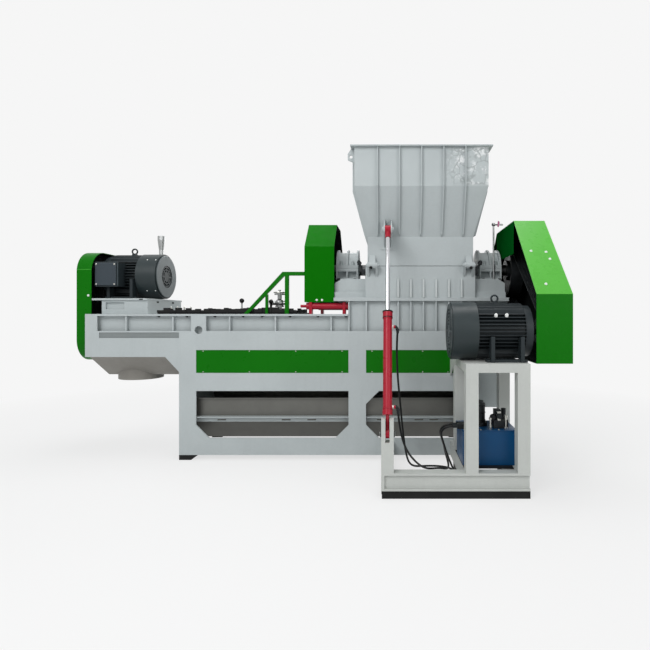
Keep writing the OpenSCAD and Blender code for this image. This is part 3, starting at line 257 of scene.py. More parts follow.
def filmed_bin_with_painted_glints(name, colour):
    """Body paint whose upper right part lies under clear film that is creased and shiny, with near-white
    patches as painted highlights and its creases darkened as painted shade.
    """
    m = Nodes(bpy.data.materials.new(name))
    x_part, _, z_part = m.split(m.place())
    left, right = [at(x, 0, 0).x for x in FILM_FADE_X]
    low, high = [at(0, 0, z).z for z in FILM_FADE_Z]
    film = m.times(m.ramp(m.span(x_part, left, right), (0.0, 0.0), (1.0, 1.0)),
                   m.ramp(m.span(z_part, low, high), (0.0, 0.0), (1.0, 1.0)))
    creases = m.add("ShaderNodeTexVoronoi", {"Vector": m.warped(7.0, 0.25), "Scale": 11.0},
                    feature="DISTANCE_TO_EDGE").outputs["Distance"]
    # Painted shade: 1 along the creases, used only to darken them
    crease_shade = m.ramp(creases, (0.0, 1.0), (0.10, 0.0))
    large = m.ramp(m.noise(1.7, 3), (0.3, 0.0), (0.7, 1.0))
    body = m.mix(large, scaled(colour, 0.95), scaled(colour, 1.05))
    # Painted highlight: near-white patches on the film stand for its glints
    painted_glint = m.times(film, m.ramp(m.noise(9, 5, 0.65), (0.52, 0.0), (0.66, 0.85)))
    body = m.mix(painted_glint, body, (0.86, 0.87, 0.87, 1))
    # Painted shade: the creases are darkened
    body = m.mix(m.times(film, crease_shade), body, scaled(colour, 0.72))
    rough_map = m.mix(film, (0.45, 0.45, 0.45, 1), (0.16, 0.16, 0.16, 1))
    peel = m.bump(m.noise(420, 2), 0.10, 0.0006)
    normal = m.bump(m.times(film, m.noise(16, 5, 0.7)), 0.8, 0.012, peel)
    return m.finish(color=body, roughness=rough_map, normal=normal, shine=0.35)


BODY = srgb(178, 185, 186)
GREEN = srgb(8, 104, 2)
MATERIALS = {
    "body_paint": paint("body_paint", BODY),
    "stand_paint": paint("stand_paint", srgb(188, 191, 187), rough=0.46),
    "green_paint": paint("green_paint", GREEN, rough=0.32, dust=0.04, shine=0.10),
    "red_paint": paint("red_paint", srgb(160, 24, 44), rough=0.30, dust=0.15, shine=0.22),
    "motor_paint": paint("motor_paint", srgb(36, 43, 46), rough=0.42, dust=0.2, shine=0.22),
    "tank_paint": paint("tank_paint", srgb(8, 68, 112), rough=0.34, dust=0.2, shine=0.22),
    "chute_paint": paint("chute_paint", srgb(140, 137, 131), rough=0.5, dust=0.4),
    "stainless": brushed("stainless", srgb(104, 104, 100), 0.42, metallic=0.7),
    "bright_steel": brushed("bright_steel", srgb(160, 162, 162), 0.30, (8.0, 8.0, 8.0), 0.2),
    "chrome_rod": chrome("chrome_rod"),
    "knife_steel": brushed("knife_steel", srgb(100, 101, 102), 0.4),
    "cast_iron": cast("cast_iron", srgb(40, 43, 45)),
    "rubber": rubber("rubber", srgb(20, 20, 20)),
    "hose_rubber": rubber("hose_rubber", srgb(14, 15, 16), 0.4),
}
CAP_GREY = paint("cap_grey", srgb(112, 119, 121), rough=0.4)
COWL_PAINT = paint("cowl_paint", srgb(40, 49, 51), rough=0.36, shine=0.3)
# Painted highlight: a lighter grey rim for the terminal lid's edges where they catch the light
RIM_HIGHLIGHT_GREY = paint("painted_rim_highlight", srgb(82, 92, 97), rough=0.4)
MATT_GREEN = paint("matt_green", GREEN, rough=0.5, dust=0.04, shine=0.03)
# Painted highlight: a lighter grey than the body paint, for the ribs' lit faces
LIT_RIB_PAINT = paint("painted_lit_rib", srgb(194, 200, 200), rough=0.4)
# Painted shade: a darker grey for the back of the overhang's channel
CHANNEL_SHADE_GREY = paint("painted_channel_shade", srgb(128, 134, 134), rough=0.5)
MOTOR_DARK = paint("motor_dark", srgb(48, 57, 64), rough=0.45, shine=0.3)
BLACK_BOLT = cast("black_bolt", srgb(22, 22, 24), 0.35, 0.5)
ZINC = brushed("zinc", srgb(190, 190, 184), 0.26, (9.0, 9.0, 9.0), 0.15)
# Painted highlight: near-white for the glints on small screws and fittings
GLINT_WHITE = paint("painted_glint_white", srgb(232, 234, 232), rough=0.4)
# Painted shade: near-black for the shaded insides of the guards and of the plinth's slots
PAINTED_SHADE_DARK = cast("painted_shade_dark", srgb(17, 20, 20), 0.75, 0.0, 0.1)
# Painted highlight: a lighter green for the bright line along the left guard's fold
FOLD_HIGHLIGHT_GREEN = paint("painted_fold_highlight", srgb(60, 160, 46), rough=0.34, dust=0.1, shine=0.2)
# Painted highlight: a lighter green for the lit slope of the drive guard
LIT_SLOPE_GREEN = paint("painted_lit_slope_green", srgb(78, 168, 52), rough=0.28, dust=0.1, shine=0.3)
# Painted shade: a darker, matt green for the shaded inside of the drive guard's top, seen through its open
# side
SHADED_LIP_GREEN = paint("painted_shade_lip_green", srgb(4, 84, 26), rough=0.7, dust=0.02, shine=0.0)
PINK = paint("pink_handle", srgb(196, 112, 150), rough=0.35)
# Nodes whose paint differs from the rest of their slot
PAINT_BY_NODE = {"hopper_bin": filmed_bin_with_painted_glints("bin_paint", BODY), "flywheel_guard": MATT_GREEN,
                 "screw_motor_cowl": COWL_PAINT, "crusher_motor_cowl": COWL_PAINT}
# The width of softened edges in metres, and the angle above which an edge counts as sharp
BEVEL = 0.0022
SMOOTH_ANGLE = math.radians(32)


def smooth(obj):
    """Shades an object's faces smooth up to the angle at which an edge stays sharp."""
    mesh = obj.data
    mesh.polygons.foreach_set("use_smooth", [True] * len(mesh.polygons))
    work = bmesh.new()
    work.from_mesh(mesh)
    for edge in work.edges:
        if len(edge.link_faces) == 2:
            edge.smooth = edge.calc_face_angle(0) < SMOOTH_ANGLE
    work.to_mesh(mesh)
    work.free()


def soften(obj, width=BEVEL):
    """Rounds an object's sharp edges a little, so that they catch the light."""
    bevel = obj.modifiers.new("edges", "BEVEL")
    bevel.width = width
    bevel.segments = 2
    bevel.limit_method = "ANGLE"
    bevel.angle_limit = SMOOTH_ANGLE
    bevel.harden_normals = True


def dress_frame():
    """Gives each node of the frame the material of its slot."""
    for part in frame["record"]["subparts"]:
        obj = nodes[part["node"]]
        obj.data.materials.clear()
        obj.data.materials.append(PAINT_BY_NODE.get(part["node"], MATERIALS[part["material_slot"]]))


dress_frame()


# Building blocks for the small parts
def new_piece(name, work, material, body="frame"):
    """Turns a bmesh into a piece of the object that rides on a body."""
    mesh = bpy.data.meshes.new(name)
    bmesh.ops.recalc_face_normals(work, faces=work.faces)
    work.to_mesh(mesh)
    work.free()
    obj = bpy.data.objects.new(name, mesh)
    mesh.materials.append(material)
    bpy.context.scene.collection.objects.link(obj)
    smooth(obj)
    if body:
        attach(obj, body)
    return obj


def facing(direction):
    """A rotation that turns +Z to a direction."""
    return Vector(direction).to_track_quat("Z", "Y").to_matrix().to_4x4()


def add_lathe(work, place, direction, outline, sides=24):
    """A turned shape: outline is a list of (radius, height) from the foot to the top."""
    turn = Matrix.Translation(place) @ facing(direction)
    rings = []
    for radius, height in outline:
        ring = [work.verts.new(turn @ Vector((radius * math.cos(2 * math.pi * k / sides),
                                              radius * math.sin(2 * math.pi * k / sides), height)))
                for k in range(sides)]
        rings.append(ring)
    for low, high in zip(rings, rings[1:]):
        for k in range(sides):
            work.faces.new((low[k], low[(k + 1) % sides], high[(k + 1) % sides], high[k]))
    work.faces.new(list(reversed(rings[0])))
    work.faces.new(rings[-1])


def add_bolt(work, place, direction, radius):
    """A hexagon head on a washer."""
    add_lathe(work, place, direction, [(radius * 1.45, 0), (radius * 1.45, radius * 0.25)], 16)
    add_lathe(work, Vector(place) + Vector(direction).normalized() * radius * 0.25, direction,
              [(radius, 0), (radius, radius * 0.62), (radius * 0.82, radius * 0.8)], 6)


def put_bolts(name, places, direction, radius, material=BLACK_BOLT):
    """Bolts at places in the source, all facing one way, as one piece on the frame."""
    work = bmesh.new()
    for place in places:
        add_bolt(work, at(*place), direction, radius)
    return new_piece(name, work, material, "frame")


def spaced(first, last, count):
    """Count even places from first to last."""
    return [first + (last - first) * i / (count - 1) for i in range(count)]


# Hoses, whose routes are points given in the source's millimetres
HOSE_RADIUS = 0.009
LIFT_ROUTE = [
    (66, -628, 1318), (65, -622, 1298), (63, -613, 1265), (61, -602, 1215), (60, -588, 1150),
    (62, -566, 1050), (67, -538, 940), (76, -505, 820), (88, -468, 700), (101, -432, 560),
    (117, -394, 400), (133, -360, 270), (150, -326, 165), (168, -296, 92), (192, -266, 44),
    (228, -240, 17), (270, -223, 10), (330, -214, 10), (400, -211, 10), (460, -217, 10),
    (512, -236, 10), (552, -266, 10), (574, -298, 10), (584, -330, 10), (585, -365, 16),
    (580, -398, 33), (558, -454, 90), (528, -502, 162), (502, -546, 230), (480, -591, 292),
    (457, -641, 363), (437, -687, 427), (434, -708, 457), (447, -727, 484), (473, -742, 505),
    (505, -749, 515), (530, -750, 516)]
RETURN_ROUTE = [
    (66, -868, 671), (67, -861, 650), (70, -849, 615), (76, -829, 565), (84, -802, 505),
    (97, -766, 440), (113, -726, 378), (134, -678, 315), (162, -620, 250), (196, -558, 190),
    (234, -494, 134), (276, -426, 82), (322, -358, 38), (370, -308, 15), (418, -284, 10),
    (456, -276, 10), (490, -282, 10), (517, -302, 12), (534, -334, 22), (540, -372, 52),
    (531, -408, 104), (514, -440, 164), (496, -474, 224), (480, -521, 292), (457, -571, 363),
    (437, -617, 427), (434, -638, 457), (447, -657, 484), (473, -672, 505), (505, -679, 515),
    (530, -680, 516)]
# The distance between a path's points in metres, and how often it is averaged
HOSE_STEP = 0.010
EASE_PASSES = 16


def curve_through(points, steps=6):
    """A smooth curve through points, as points close together."""
    out = []
    for i in range(len(points) - 1):
        a = points[max(0, i - 1)]
        b, c = points[i], points[i + 1]
        d = points[min(len(points) - 1, i + 2)]
        for k in range(steps):
            t = k / steps
            out.append(0.5 * ((2 * b) + (c - a) * t + (2 * a - 5 * b + 4 * c - d) * t * t
                              + (3 * b - a - 3 * c + d) * t * t * t))
    out.append(points[-1])
    return out


def evened(path, step):
    """The same path with points a step apart."""
    count = round(path_length(path) / step)
    gap = path_length(path) / count
    out, left = [path[0].copy()], gap
    for a, b in zip(path, path[1:]):
        span, done = (b - a).length, 0.0
        while span - done >= left and len(out) < count:
            done += left
            out.append(a.lerp(b, done / span))
            left = gap
        left -= span - done
    return out + [path[-1].copy()]


def eased(path, passes):
    """A path whose bends are made wider by averaging, with its first and last points kept."""
    for _ in range(passes):
        middle = [(path[i - 1] + 2 * path[i] + path[i + 1]) / 4 for i in range(2, len(path) - 2)]
        path = path[:2] + middle + path[-2:]
    return path


def add_tube(work, path, radius, sides=16):
    """A round tube along a path, with closed ends."""
    rings = []
    side = Vector((0, 1, 0))
    for i, point in enumerate(path):
        ahead = (path[min(i + 1, len(path) - 1)] - path[max(i - 1, 0)]).normalized()
        side = (side - side.dot(ahead) * ahead).normalized()
        up = ahead.cross(side)
        rings.append([work.verts.new(point + radius * (math.cos(2 * math.pi * k / sides) * side
                                                       + math.sin(2 * math.pi * k / sides) * up))
                      for k in range(sides)])
    for low, high in zip(rings, rings[1:]):
        for k in range(sides):
            work.faces.new((low[k], low[(k + 1) % sides], high[(k + 1) % sides], high[k]))
    work.faces.new(list(reversed(rings[0])))
    work.faces.new(rings[-1])


def path_length(path):
    """The length of a path of points."""
    return sum((b - a).length for a, b in zip(path, path[1:]))


def hose(name, route, node):
    """A hose along a route, which takes the place of a node that it hides."""
    path = eased(evened(curve_through([at(*p) for p in route]), HOSE_STEP), EASE_PASSES)
    work = bmesh.new()
    add_tube(work, path, HOSE_RADIUS)
    obj = new_piece(name, work, MATERIALS["hose_rubber"], None)
    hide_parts(node)
    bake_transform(obj)


# Outlines of an elbow's nut and ferrule: radius and height in metres
ELBOW_RADIUS = 0.0105
ELBOW_NUT = [(0.015, 0), (0.0165, 0.002), (0.0165, 0.012), (0.015, 0.014)]
FERRULE = [(0.0150, 0), (0.0165, 0.002), (0.0165, 0.010), (0.0125, 0.011), (0.0120, 0.034), (0.0105, 0.038)]
NUT_OVERLAP, FERRULE_OVERLAP = 0.002, 0.012
ELBOW_STEPS = 10


def elbow(name, port, end):
    """The bent fitting that turns a hose down from its port on the barrel."""
    start, stop = at(*port), at(*end)
    corner = Vector((stop.x, start.y * 0.6 + stop.y * 0.4, start.z))
    shares = [i / ELBOW_STEPS for i in range(ELBOW_STEPS + 1)]
    path = [start.lerp(corner, t).lerp(corner.lerp(stop, t), t) for t in shares]
    down = (stop - corner).normalized()
    work = bmesh.new()
    add_tube(work, path, ELBOW_RADIUS)
    add_lathe(work, start - NUT_OVERLAP * Vector((1, 0, 0)), (1, 0, 0), ELBOW_NUT, 6)
    add_lathe(work, stop - FERRULE_OVERLAP * down, down, FERRULE, 12)
    new_piece(name, work, MATERIALS["cast_iron"], "barrel")


hose("upper_hose", LIFT_ROUTE, "lift_hose")
hose("lower_hose", RETURN_ROUTE, "return_hose")
elbow("upper_elbow", port=(46, -634.9, 1348.4), end=LIFT_ROUTE[0])
elbow("lower_elbow", port=(46, -875.1, 701.5), end=RETURN_ROUTE[0])


# Sizes and places that pieces share, in the source's millimetres
FRONT, BACK, LEFT, RIGHT, UP, DOWN = (0, -1, 0), (0, 1, 0), (-1, 0, 0), (1, 0, 0), (0, 0, 1), (0, 0, -1)
BODY_PAINT = MATERIALS["body_paint"]
X_AXIS, Y_AXIS = 0, 1
# How far a piece reaches into the face that it sits on, or stands before it
TOUCH = 0.5
SHEET = 5
FRAME_D = 1000
MIDDLE_Y = FRAME_D / 2
DECK_UNDERSIDE, DECK_TOP = 1440, 1460
COVER_X0, COVER_X1 = -2390, -950
COVER_SIDE, COVER_JOINT = 130, 6
COVER_TOP = DECK_TOP + 14
CRUSHER_X = 305
FLANGE_Z0, FLANGE_Z1 = 1590, 1625
HOUSING_HALF, CHAMBER_HALF, CHAMBER_SIDE = 550, 500, 210
HOUSING_TOP = 1940
ROTOR_Z, ROTOR_REACH, SHAFT_HOLE = 1942.5, 290, 68
RIB_PITCH, RIB_COUNT = 127, 6
RIB_X = [717 - RIB_PITCH * i for i in range(RIB_COUNT)]
PLINTH_X0, PLINTH_X1, PLINTH_SIDE, PLINTH_TOP = -2950, -2480, 110, 1600
SCREW_MOTOR_Z = 1870
SPIGOT_X, SPIGOT_RADIUS, SPIGOT_FOOT, SPIGOT_HIGH = -2745, 225, 760, 125
WHEEL_GUARD_OPEN, WHEEL_GUARD_WALL = -565, -865
LEFT_GUARD_OPEN, LEFT_GUARD_WALL, LEFT_GUARD_FRONT = -3050, -3200, 100
DRIVE_GUARD_OPEN, DRIVE_GUARD_WALL = 1200, 1500
DRIVE_GUARD_TOP, DRIVE_GUARD_TOP_REAR = 2365, 592


# Shapes made in the source's millimetres
def add_block(work, low, high):
    """A box between two corners."""
    low, high = at(*low), at(*high)
    for vert in bmesh.ops.create_cube(work, size=1)["verts"]:
        vert.co = Vector([(a + b) / 2 + (b - a) * v for a, b, v in zip(low, high, vert.co)])


def blocks(*corners):
    """A shape of boxes, each given by two corners."""
    work = bmesh.new()
    for low, high in corners:
        add_block(work, low, high)
    return work


def add_prism(work, outline, axis, low, high):
    """An outline given in the other two directions, carried along X or Y from low to high."""
    def corner(p, along):
        return at(along, *p) if axis == X_AXIS else at(p[0], along, p[1])
    rings = [[work.verts.new(corner(p, along)) for p in outline] for along in (low, high)]
    count = len(outline)
    for k in range(count):
        work.faces.new((rings[0][k], rings[0][(k + 1) % count], rings[1][(k + 1) % count], rings[1][k]))
    work.faces.new(list(reversed(rings[0])))
    work.faces.new(rings[1])


def add_cup(work, outer, inner, open_x, wall_x, inner_x):
    """A sheet housing along X that is open at one end: outlines in Y and Z, outside and inside."""
    places = ((outer, open_x), (outer, wall_x), (inner, inner_x), (inner, open_x))
    rings = [[work.verts.new(at(x, *p)) for p in outline] for outline, x in places]
    count = len(outer)
    for a, b in ((0, 1), (2, 3), (3, 0)):
        for k in range(count):
            n = (k + 1) % count
            work.faces.new((rings[a][k], rings[a][n], rings[b][n], rings[b][k]))
    work.faces.new(list(reversed(rings[1])))
    work.faces.new(rings[2])


def mirrored(work, axis, middle):
    """Adds the mirror image of all that a shape has so far, about a place on the X or Y axis."""
    plane = at(middle, middle, 0)[axis]
    made = bmesh.ops.duplicate(work, geom=work.verts[:] + work.edges[:] + work.faces[:])["geom"]
    for item in made:
        if isinstance(item, bmesh.types.BMVert):
            item.co[axis] = 2 * plane - item.co[axis]
    return work


def metres(outline):
    """An outline of radius and height, from millimetres to metres."""
    return [(r / 1000, h / 1000) for r, h in outline]


def cylinder(place, direction, radius, high, sides):
    """A plain round shape, for a hole or a ring."""
    work = bmesh.new()
    add_lathe(work, at(*place), direction, metres([(radius, 0), (radius, high)]), sides)
    return work


def add_ring(work, place, direction, outline, sides=48):
    """A turned ring whose outline closes on itself."""
    turn = Matrix.Translation(place) @ facing(direction)
    rings = [[work.verts.new(turn @ Vector((r * math.cos(2 * math.pi * k / sides),
                                            r * math.sin(2 * math.pi * k / sides), h)))
              for k in range(sides)] for r, h in outline]
    for low, high in zip(rings, rings[1:] + rings[:1]):
        for k in range(sides):
            work.faces.new((low[k], low[(k + 1) % sides], high[(k + 1) % sides], high[k]))


def carve(piece, work):
    """Cuts a shape away from a piece."""
    mesh = bpy.data.meshes.new("tool")
    bmesh.ops.recalc_face_normals(work, faces=work.faces)
    work.to_mesh(mesh)
    work.free()
    tool = bpy.data.objects.new("tool", mesh)
    bpy.context.scene.collection.objects.link(tool)
    cut = piece.modifiers.new("cut", "BOOLEAN")
    cut.object = tool
    cut.solver = "EXACT"
    bpy.context.view_layer.update()
    made = bpy.data.meshes.new_from_object(piece.evaluated_get(bpy.context.evaluated_depsgraph_get()))
    piece.modifiers.remove(cut)
    piece.data = made
    bpy.data.objects.remove(tool)
    smooth(piece)


def round_box(y0, y1, z0, z1, r, steps=12):
    """A rectangle with round corners in Y and Z, as a list of points."""
    left, right, low, high = y0 + r, y1 - r, z0 + r, z1 - r
    out = []
    for cy, cz, turn in ((right, high, 0), (left, high, 90), (left, low, 180), (right, low, 270)):
        for k in range(steps + 1):
            angle = math.radians(turn + 90 * k / steps)
            out.append((cy + r * math.cos(angle), cz + r * math.sin(angle)))
    return out


# Forms that follow the photograph more closely than their solids
def drive_guard_outline(inset):
    """The drive guard's side in Y and Z: level foot, front, slope, top, back slope and rear."""
    front, rear = -860 + inset, 850 - inset
    foot, top = 1052 + inset, DRIVE_GUARD_TOP - inset
    return [(front, foot), (front, 1624), (-138 + inset, top), (DRIVE_GUARD_TOP_REAR, top), (rear, 2100),
            (rear, 1692), (520, foot)]


def drive_guard():
    """The big belt guard, whose faces that slope forward and up get a lighter green as a painted highlight of
    their lit side.
    """
    lit_slope_above = 1.7
    work = bmesh.new()
    add_cup(work, drive_guard_outline(0), drive_guard_outline(SHEET), DRIVE_GUARD_OPEN, DRIVE_GUARD_WALL,
            DRIVE_GUARD_WALL - SHEET)
    guard = new_piece("drive_guard", work, MATERIALS["green_paint"], "frame")
    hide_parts("right_guard")
    # Painted highlight: the faces that slope forward and up take the lighter green
    guard.data.materials.append(LIT_SLOPE_GREEN)
    for face in guard.data.polygons:
        if face.normal.y < -0.5 and face.normal.z > 0.5 and face.center.z > lit_slope_above:
            face.material_index = 1
    soften(guard)
    # Painted shade: a darker green plate across the top of the guard's open side
    lip = blocks(((DRIVE_GUARD_OPEN - TOUCH, -130, 2045),
                  (DRIVE_GUARD_OPEN + 4, DRIVE_GUARD_TOP_REAR, DRIVE_GUARD_TOP - 6)))
    soften(new_piece("drive_guard_shaded_lip", lip, SHADED_LIP_GREEN, "frame"))


def base_with_ribs():
    """The crusher's base: box, flange and ribs on both sides, with two more ribs under the left end."""
    side, rib_half, rib_out, rib_in, rib_foot = 60, 7.5, 16, 61, 1270
    box_left, flange_right = -420, 1190
    work = blocks(((box_left, side, 1040), (CRUSHER_X + HOUSING_HALF, FRAME_D - side, FLANGE_Z0)),
                  ((WHEEL_GUARD_OPEN, 0, FLANGE_Z0), (flange_right, FRAME_D, FLANGE_Z1)))
    for x in RIB_X + [-412.5, -237.5]:
        for low, high in ((rib_out, rib_in), (FRAME_D - rib_in, FRAME_D - rib_out)):
            add_block(work, (x - rib_half, low, rib_foot), (x + rib_half, high, FLANGE_Z0 + TOUCH))
    base = new_piece("ribbed_base", work, BODY_PAINT, "frame")
    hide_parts("crusher_base")
    soften(base)


def housing_with_ribs():
    """The lower housing with its mouth and bores, its ribs and the steps beside it."""
    left, right, side = CRUSHER_X - HOUSING_HALF, CRUSHER_X + HOUSING_HALF, 20
    chamber_left, chamber_right = CRUSHER_X - CHAMBER_HALF, CRUSHER_X + CHAMBER_HALF
    past_wall = 15
    box = blocks(((left, side, FLANGE_Z1), (right, FRAME_D - side, HOUSING_TOP)))
    housing = new_piece("ribbed_housing", box, BODY_PAINT, "frame")
    carve(housing, blocks(((chamber_left, CHAMBER_SIDE, 1882),
                           (chamber_right, FRAME_D - CHAMBER_SIDE, HOUSING_TOP + 10))))
    carve(housing, cylinder((chamber_left, MIDDLE_Y, ROTOR_Z), RIGHT, ROTOR_REACH, 2 * CHAMBER_HALF, 48))
    carve(housing, cylinder((left - past_wall, MIDDLE_Y, ROTOR_Z), RIGHT, SHAFT_HOLE,
                            2 * (HOUSING_HALF + past_wall), 32))
    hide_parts("lower_housing")
    soften(housing)
    rib_half, rib_top = 9, 1810
    rib = [(-8, FLANGE_Z1), (side + TOUCH, FLANGE_Z1), (side + TOUCH, rib_top), (2, rib_top)]
    ribs = bmesh.new()
    for x in RIB_X:
        add_prism(ribs, rib, X_AXIS, x - rib_half, x + rib_half)
    mirrored(ribs, Y_AXIS, MIDDLE_Y)
    # Painted highlight: the housing's ribs take the lighter grey
    soften(new_piece("housing_ribs", ribs, LIT_RIB_PAINT, "frame"))
    step_side, step_top = 70, 1684
    steps = blocks(((WHEEL_GUARD_OPEN, step_side, FLANGE_Z1), (left - 1, FRAME_D - step_side, step_top)))
    mirrored(steps, X_AXIS, CRUSHER_X)
    soften(new_piece("pedestal_steps", steps, BODY_PAINT, "frame"))


def chute_hull(inset, past):
    """The outlet chute's form, smaller by inset and open upward and downward by past."""
    side = inset * 1.83
    low, high = 810 - past, 1030 + past
    left, right = -3030 + inset, -2116 - inset
    mouth_side, foot_side = 40, 376
    rows = [(left, high, mouth_side), (left, low, foot_side), (right, low, foot_side), (right, 880, 269),
            (-2250 - inset, high, mouth_side)]
    work = bmesh.new()
    for x, z, y in rows:
        for place in (y + side, FRAME_D - y - side):
            work.verts.new(at(x, place, z))
    bmesh.ops.convex_hull(work, input=work.verts[:])
    return work


def outlet():
    """The hollow outlet chute under the trough's left end, and its round spigot."""
    chute_paint, edge, past = MATERIALS["chute_paint"], 0.001, 3
    bore = SPIGOT_RADIUS - SHEET
    chute = new_piece("outlet_funnel", chute_hull(0, 0), chute_paint, "frame")
    carve(chute, chute_hull(SHEET, past))
    carve(chute, cylinder((SPIGOT_X, MIDDLE_Y, 800), UP, bore + 1, 225, 64))
    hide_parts("outlet_chute")
    soften(chute, edge)
    ring = cylinder((SPIGOT_X, MIDDLE_Y, SPIGOT_FOOT), UP, SPIGOT_RADIUS, SPIGOT_HIGH, 64)
    spigot = new_piece("outlet_ring", ring, chute_paint, "frame")
    carve(spigot, cylinder((SPIGOT_X, MIDDLE_Y, SPIGOT_FOOT - 10), UP, bore, SPIGOT_HIGH + 25, 64))
    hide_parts("outlet_spigot")
    soften(spigot, edge)


def pedestal_and_covers():
    """The screw motor's plinth and plate, and the trough's lids with their stiffeners."""
    plinth = blocks(((PLINTH_X0, PLINTH_SIDE, DECK_TOP), (PLINTH_X1, FRAME_D - PLINTH_SIDE, PLINTH_TOP)))
    pedestal = new_piece("motor_plinth", plinth, BODY_PAINT, "frame")
    recess = blocks(((PLINTH_X0 + 40, PLINTH_SIDE - 10, DECK_TOP + 50),
                     (PLINTH_X0 + 230, PLINTH_SIDE + 25, PLINTH_TOP - 20)))
    carve(pedestal, mirrored(recess, Y_AXIS, MIDDLE_Y))
    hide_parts("motor_pedestal")
    soften(pedestal)
    plate_side = 90
    plate = blocks(((-3040, plate_side, PLINTH_TOP), (PLINTH_X1, FRAME_D - plate_side, PLINTH_TOP + 20)))
    soften(new_piece("motor_plate", plate, BODY_PAINT, "frame"))
    lid_count, stiffener_end, stiffener_half, stiffener_high = 4, 30, 6, 26
    covers = bmesh.new()
    length = (COVER_X1 - COVER_X0) / lid_count
    for i in range(lid_count):
        x0 = COVER_X0 + i * length
        x1 = x0 + length - COVER_JOINT
        add_block(covers, (x0, COVER_SIDE, DECK_TOP), (x1, FRAME_D - COVER_SIDE, COVER_TOP))
        for y in (COVER_SIDE + 30, MIDDLE_Y, FRAME_D - COVER_SIDE - 30):
            add_block(covers, (x0 + stiffener_end, y - stiffener_half, COVER_TOP - TOUCH),
                      (x1 - stiffener_end, y + stiffener_half, COVER_TOP + stiffener_high))
    lids = new_piece("trough_lids", covers, MATERIALS["rubber"], "frame")
    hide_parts("trough_covers")
    soften(lids, 0.001)


drive_guard()
base_with_ribs()
housing_with_ribs()
outlet()
pedestal_and_covers()


# Painted shade: dark skins inside the belt and wheel guards
def wheel_guard_outline(inset):
    """The flywheel guard's side: level top, two slopes and upright sides."""
    y0, y1, z0, z1 = 50 + inset, 950 - inset, 1580 + inset, 2410 - inset
    slope_foot, slope_wide = 2143, 267
    return [(y0, z0), (y0, slope_foot), (y0 + slope_wide, z1),
            (y1 - slope_wide, z1), (y1, slope_foot), (y1, z0)]


def left_guard_outline(inset):
    """The left belt guard's side: a tall box with round corners."""
    return round_box(LEFT_GUARD_FRONT + inset, FRAME_D - LEFT_GUARD_FRONT - inset, 975 + inset, 2110 - inset,
                     220 - inset)


def shade_liner(name, outline, open_x, wall_x):
    """A dark skin just inside a guard's sheet, as painted shade for the guard's inside."""
    near, deep = SHEET + 0.6, SHEET + 3
    turn = 1 if open_x > wall_x else -1
    work = bmesh.new()
    add_cup(work, outline(near), outline(deep), open_x - turn, wall_x + near * turn, wall_x + deep * turn)
    new_piece(name, work, PAINTED_SHADE_DARK, "frame")


shade_liner("left_guard_shade_liner", left_guard_outline, LEFT_GUARD_OPEN, LEFT_GUARD_WALL)
shade_liner("wheel_guard_shade_liner", wheel_guard_outline, WHEEL_GUARD_OPEN, WHEEL_GUARD_WALL)
shade_liner("drive_guard_shade_liner", drive_guard_outline, DRIVE_GUARD_OPEN + 6.5, DRIVE_GUARD_WALL)


# Bolts, knobs and fittings
def turned(name, rows, material, body="frame", sides=24):
    """Turned pieces in one object: each row is a place, a direction and an outline in millimetres."""
    work = bmesh.new()
    for place, direction, outline in rows:
        add_lathe(work, at(*place), direction, metres(outline), sides)
    return new_piece(name, work, material, body)


def ball(radius, foot, steps=10):
    """The outline of a ball on a neck that is foot high."""
    neck = radius * 0.35
    out = [(neck, 0), (neck, foot)]
    for k in range(1, steps):
        angle = math.pi * k / steps
        if radius * math.sin(angle) > neck:
            out.append((radius * math.sin(angle), foot + radius * (0.94 - math.cos(angle))))
    return out + [(radius * 0.1, foot + radius * 1.94)]


def torus(work, place, direction, radius, thick, sides=28, round_sides=10):
    """A ring with a round section, in metres."""
    section = [(radius + thick * math.cos(2 * math.pi * j / round_sides),
                thick * math.sin(2 * math.pi * j / round_sides)) for j in range(round_sides)]
    turn = Matrix.Translation(place) @ facing(direction)
    rings = []
    for k in range(sides):
        a = 2 * math.pi * k / sides
        rings.append([work.verts.new(turn @ Vector((r * math.cos(a), r * math.sin(a), h)))
                      for r, h in section])
    for k in range(sides):
        for j in range(round_sides):
            n, m = (k + 1) % sides, (j + 1) % round_sides
            work.faces.new((rings[k][j], rings[n][j], rings[n][m], rings[k][m]))


def cover_seal():
    """The ragged strip of sealing foam along both edges of the lids."""
    strip = bmesh.new()
    random.seed(4)
    for y in (COVER_SIDE + 4, FRAME_D - COVER_SIDE - 4):
        x = COVER_X0
        while x < COVER_X1 - 40:
            long = random.uniform(26, 58)
            rise = random.uniform(1496, 1530)
            shift = random.uniform(-6, 6)
            end = min(x + long + 8, COVER_X1 - COVER_JOINT)
            add_block(strip, (x, y - 16 + shift, COVER_TOP - TOUCH), (end, y + 12 + shift, rise))
            x += long
    soften(new_piece("cover_seal", strip, MATERIALS["rubber"], "frame"), 0.003)


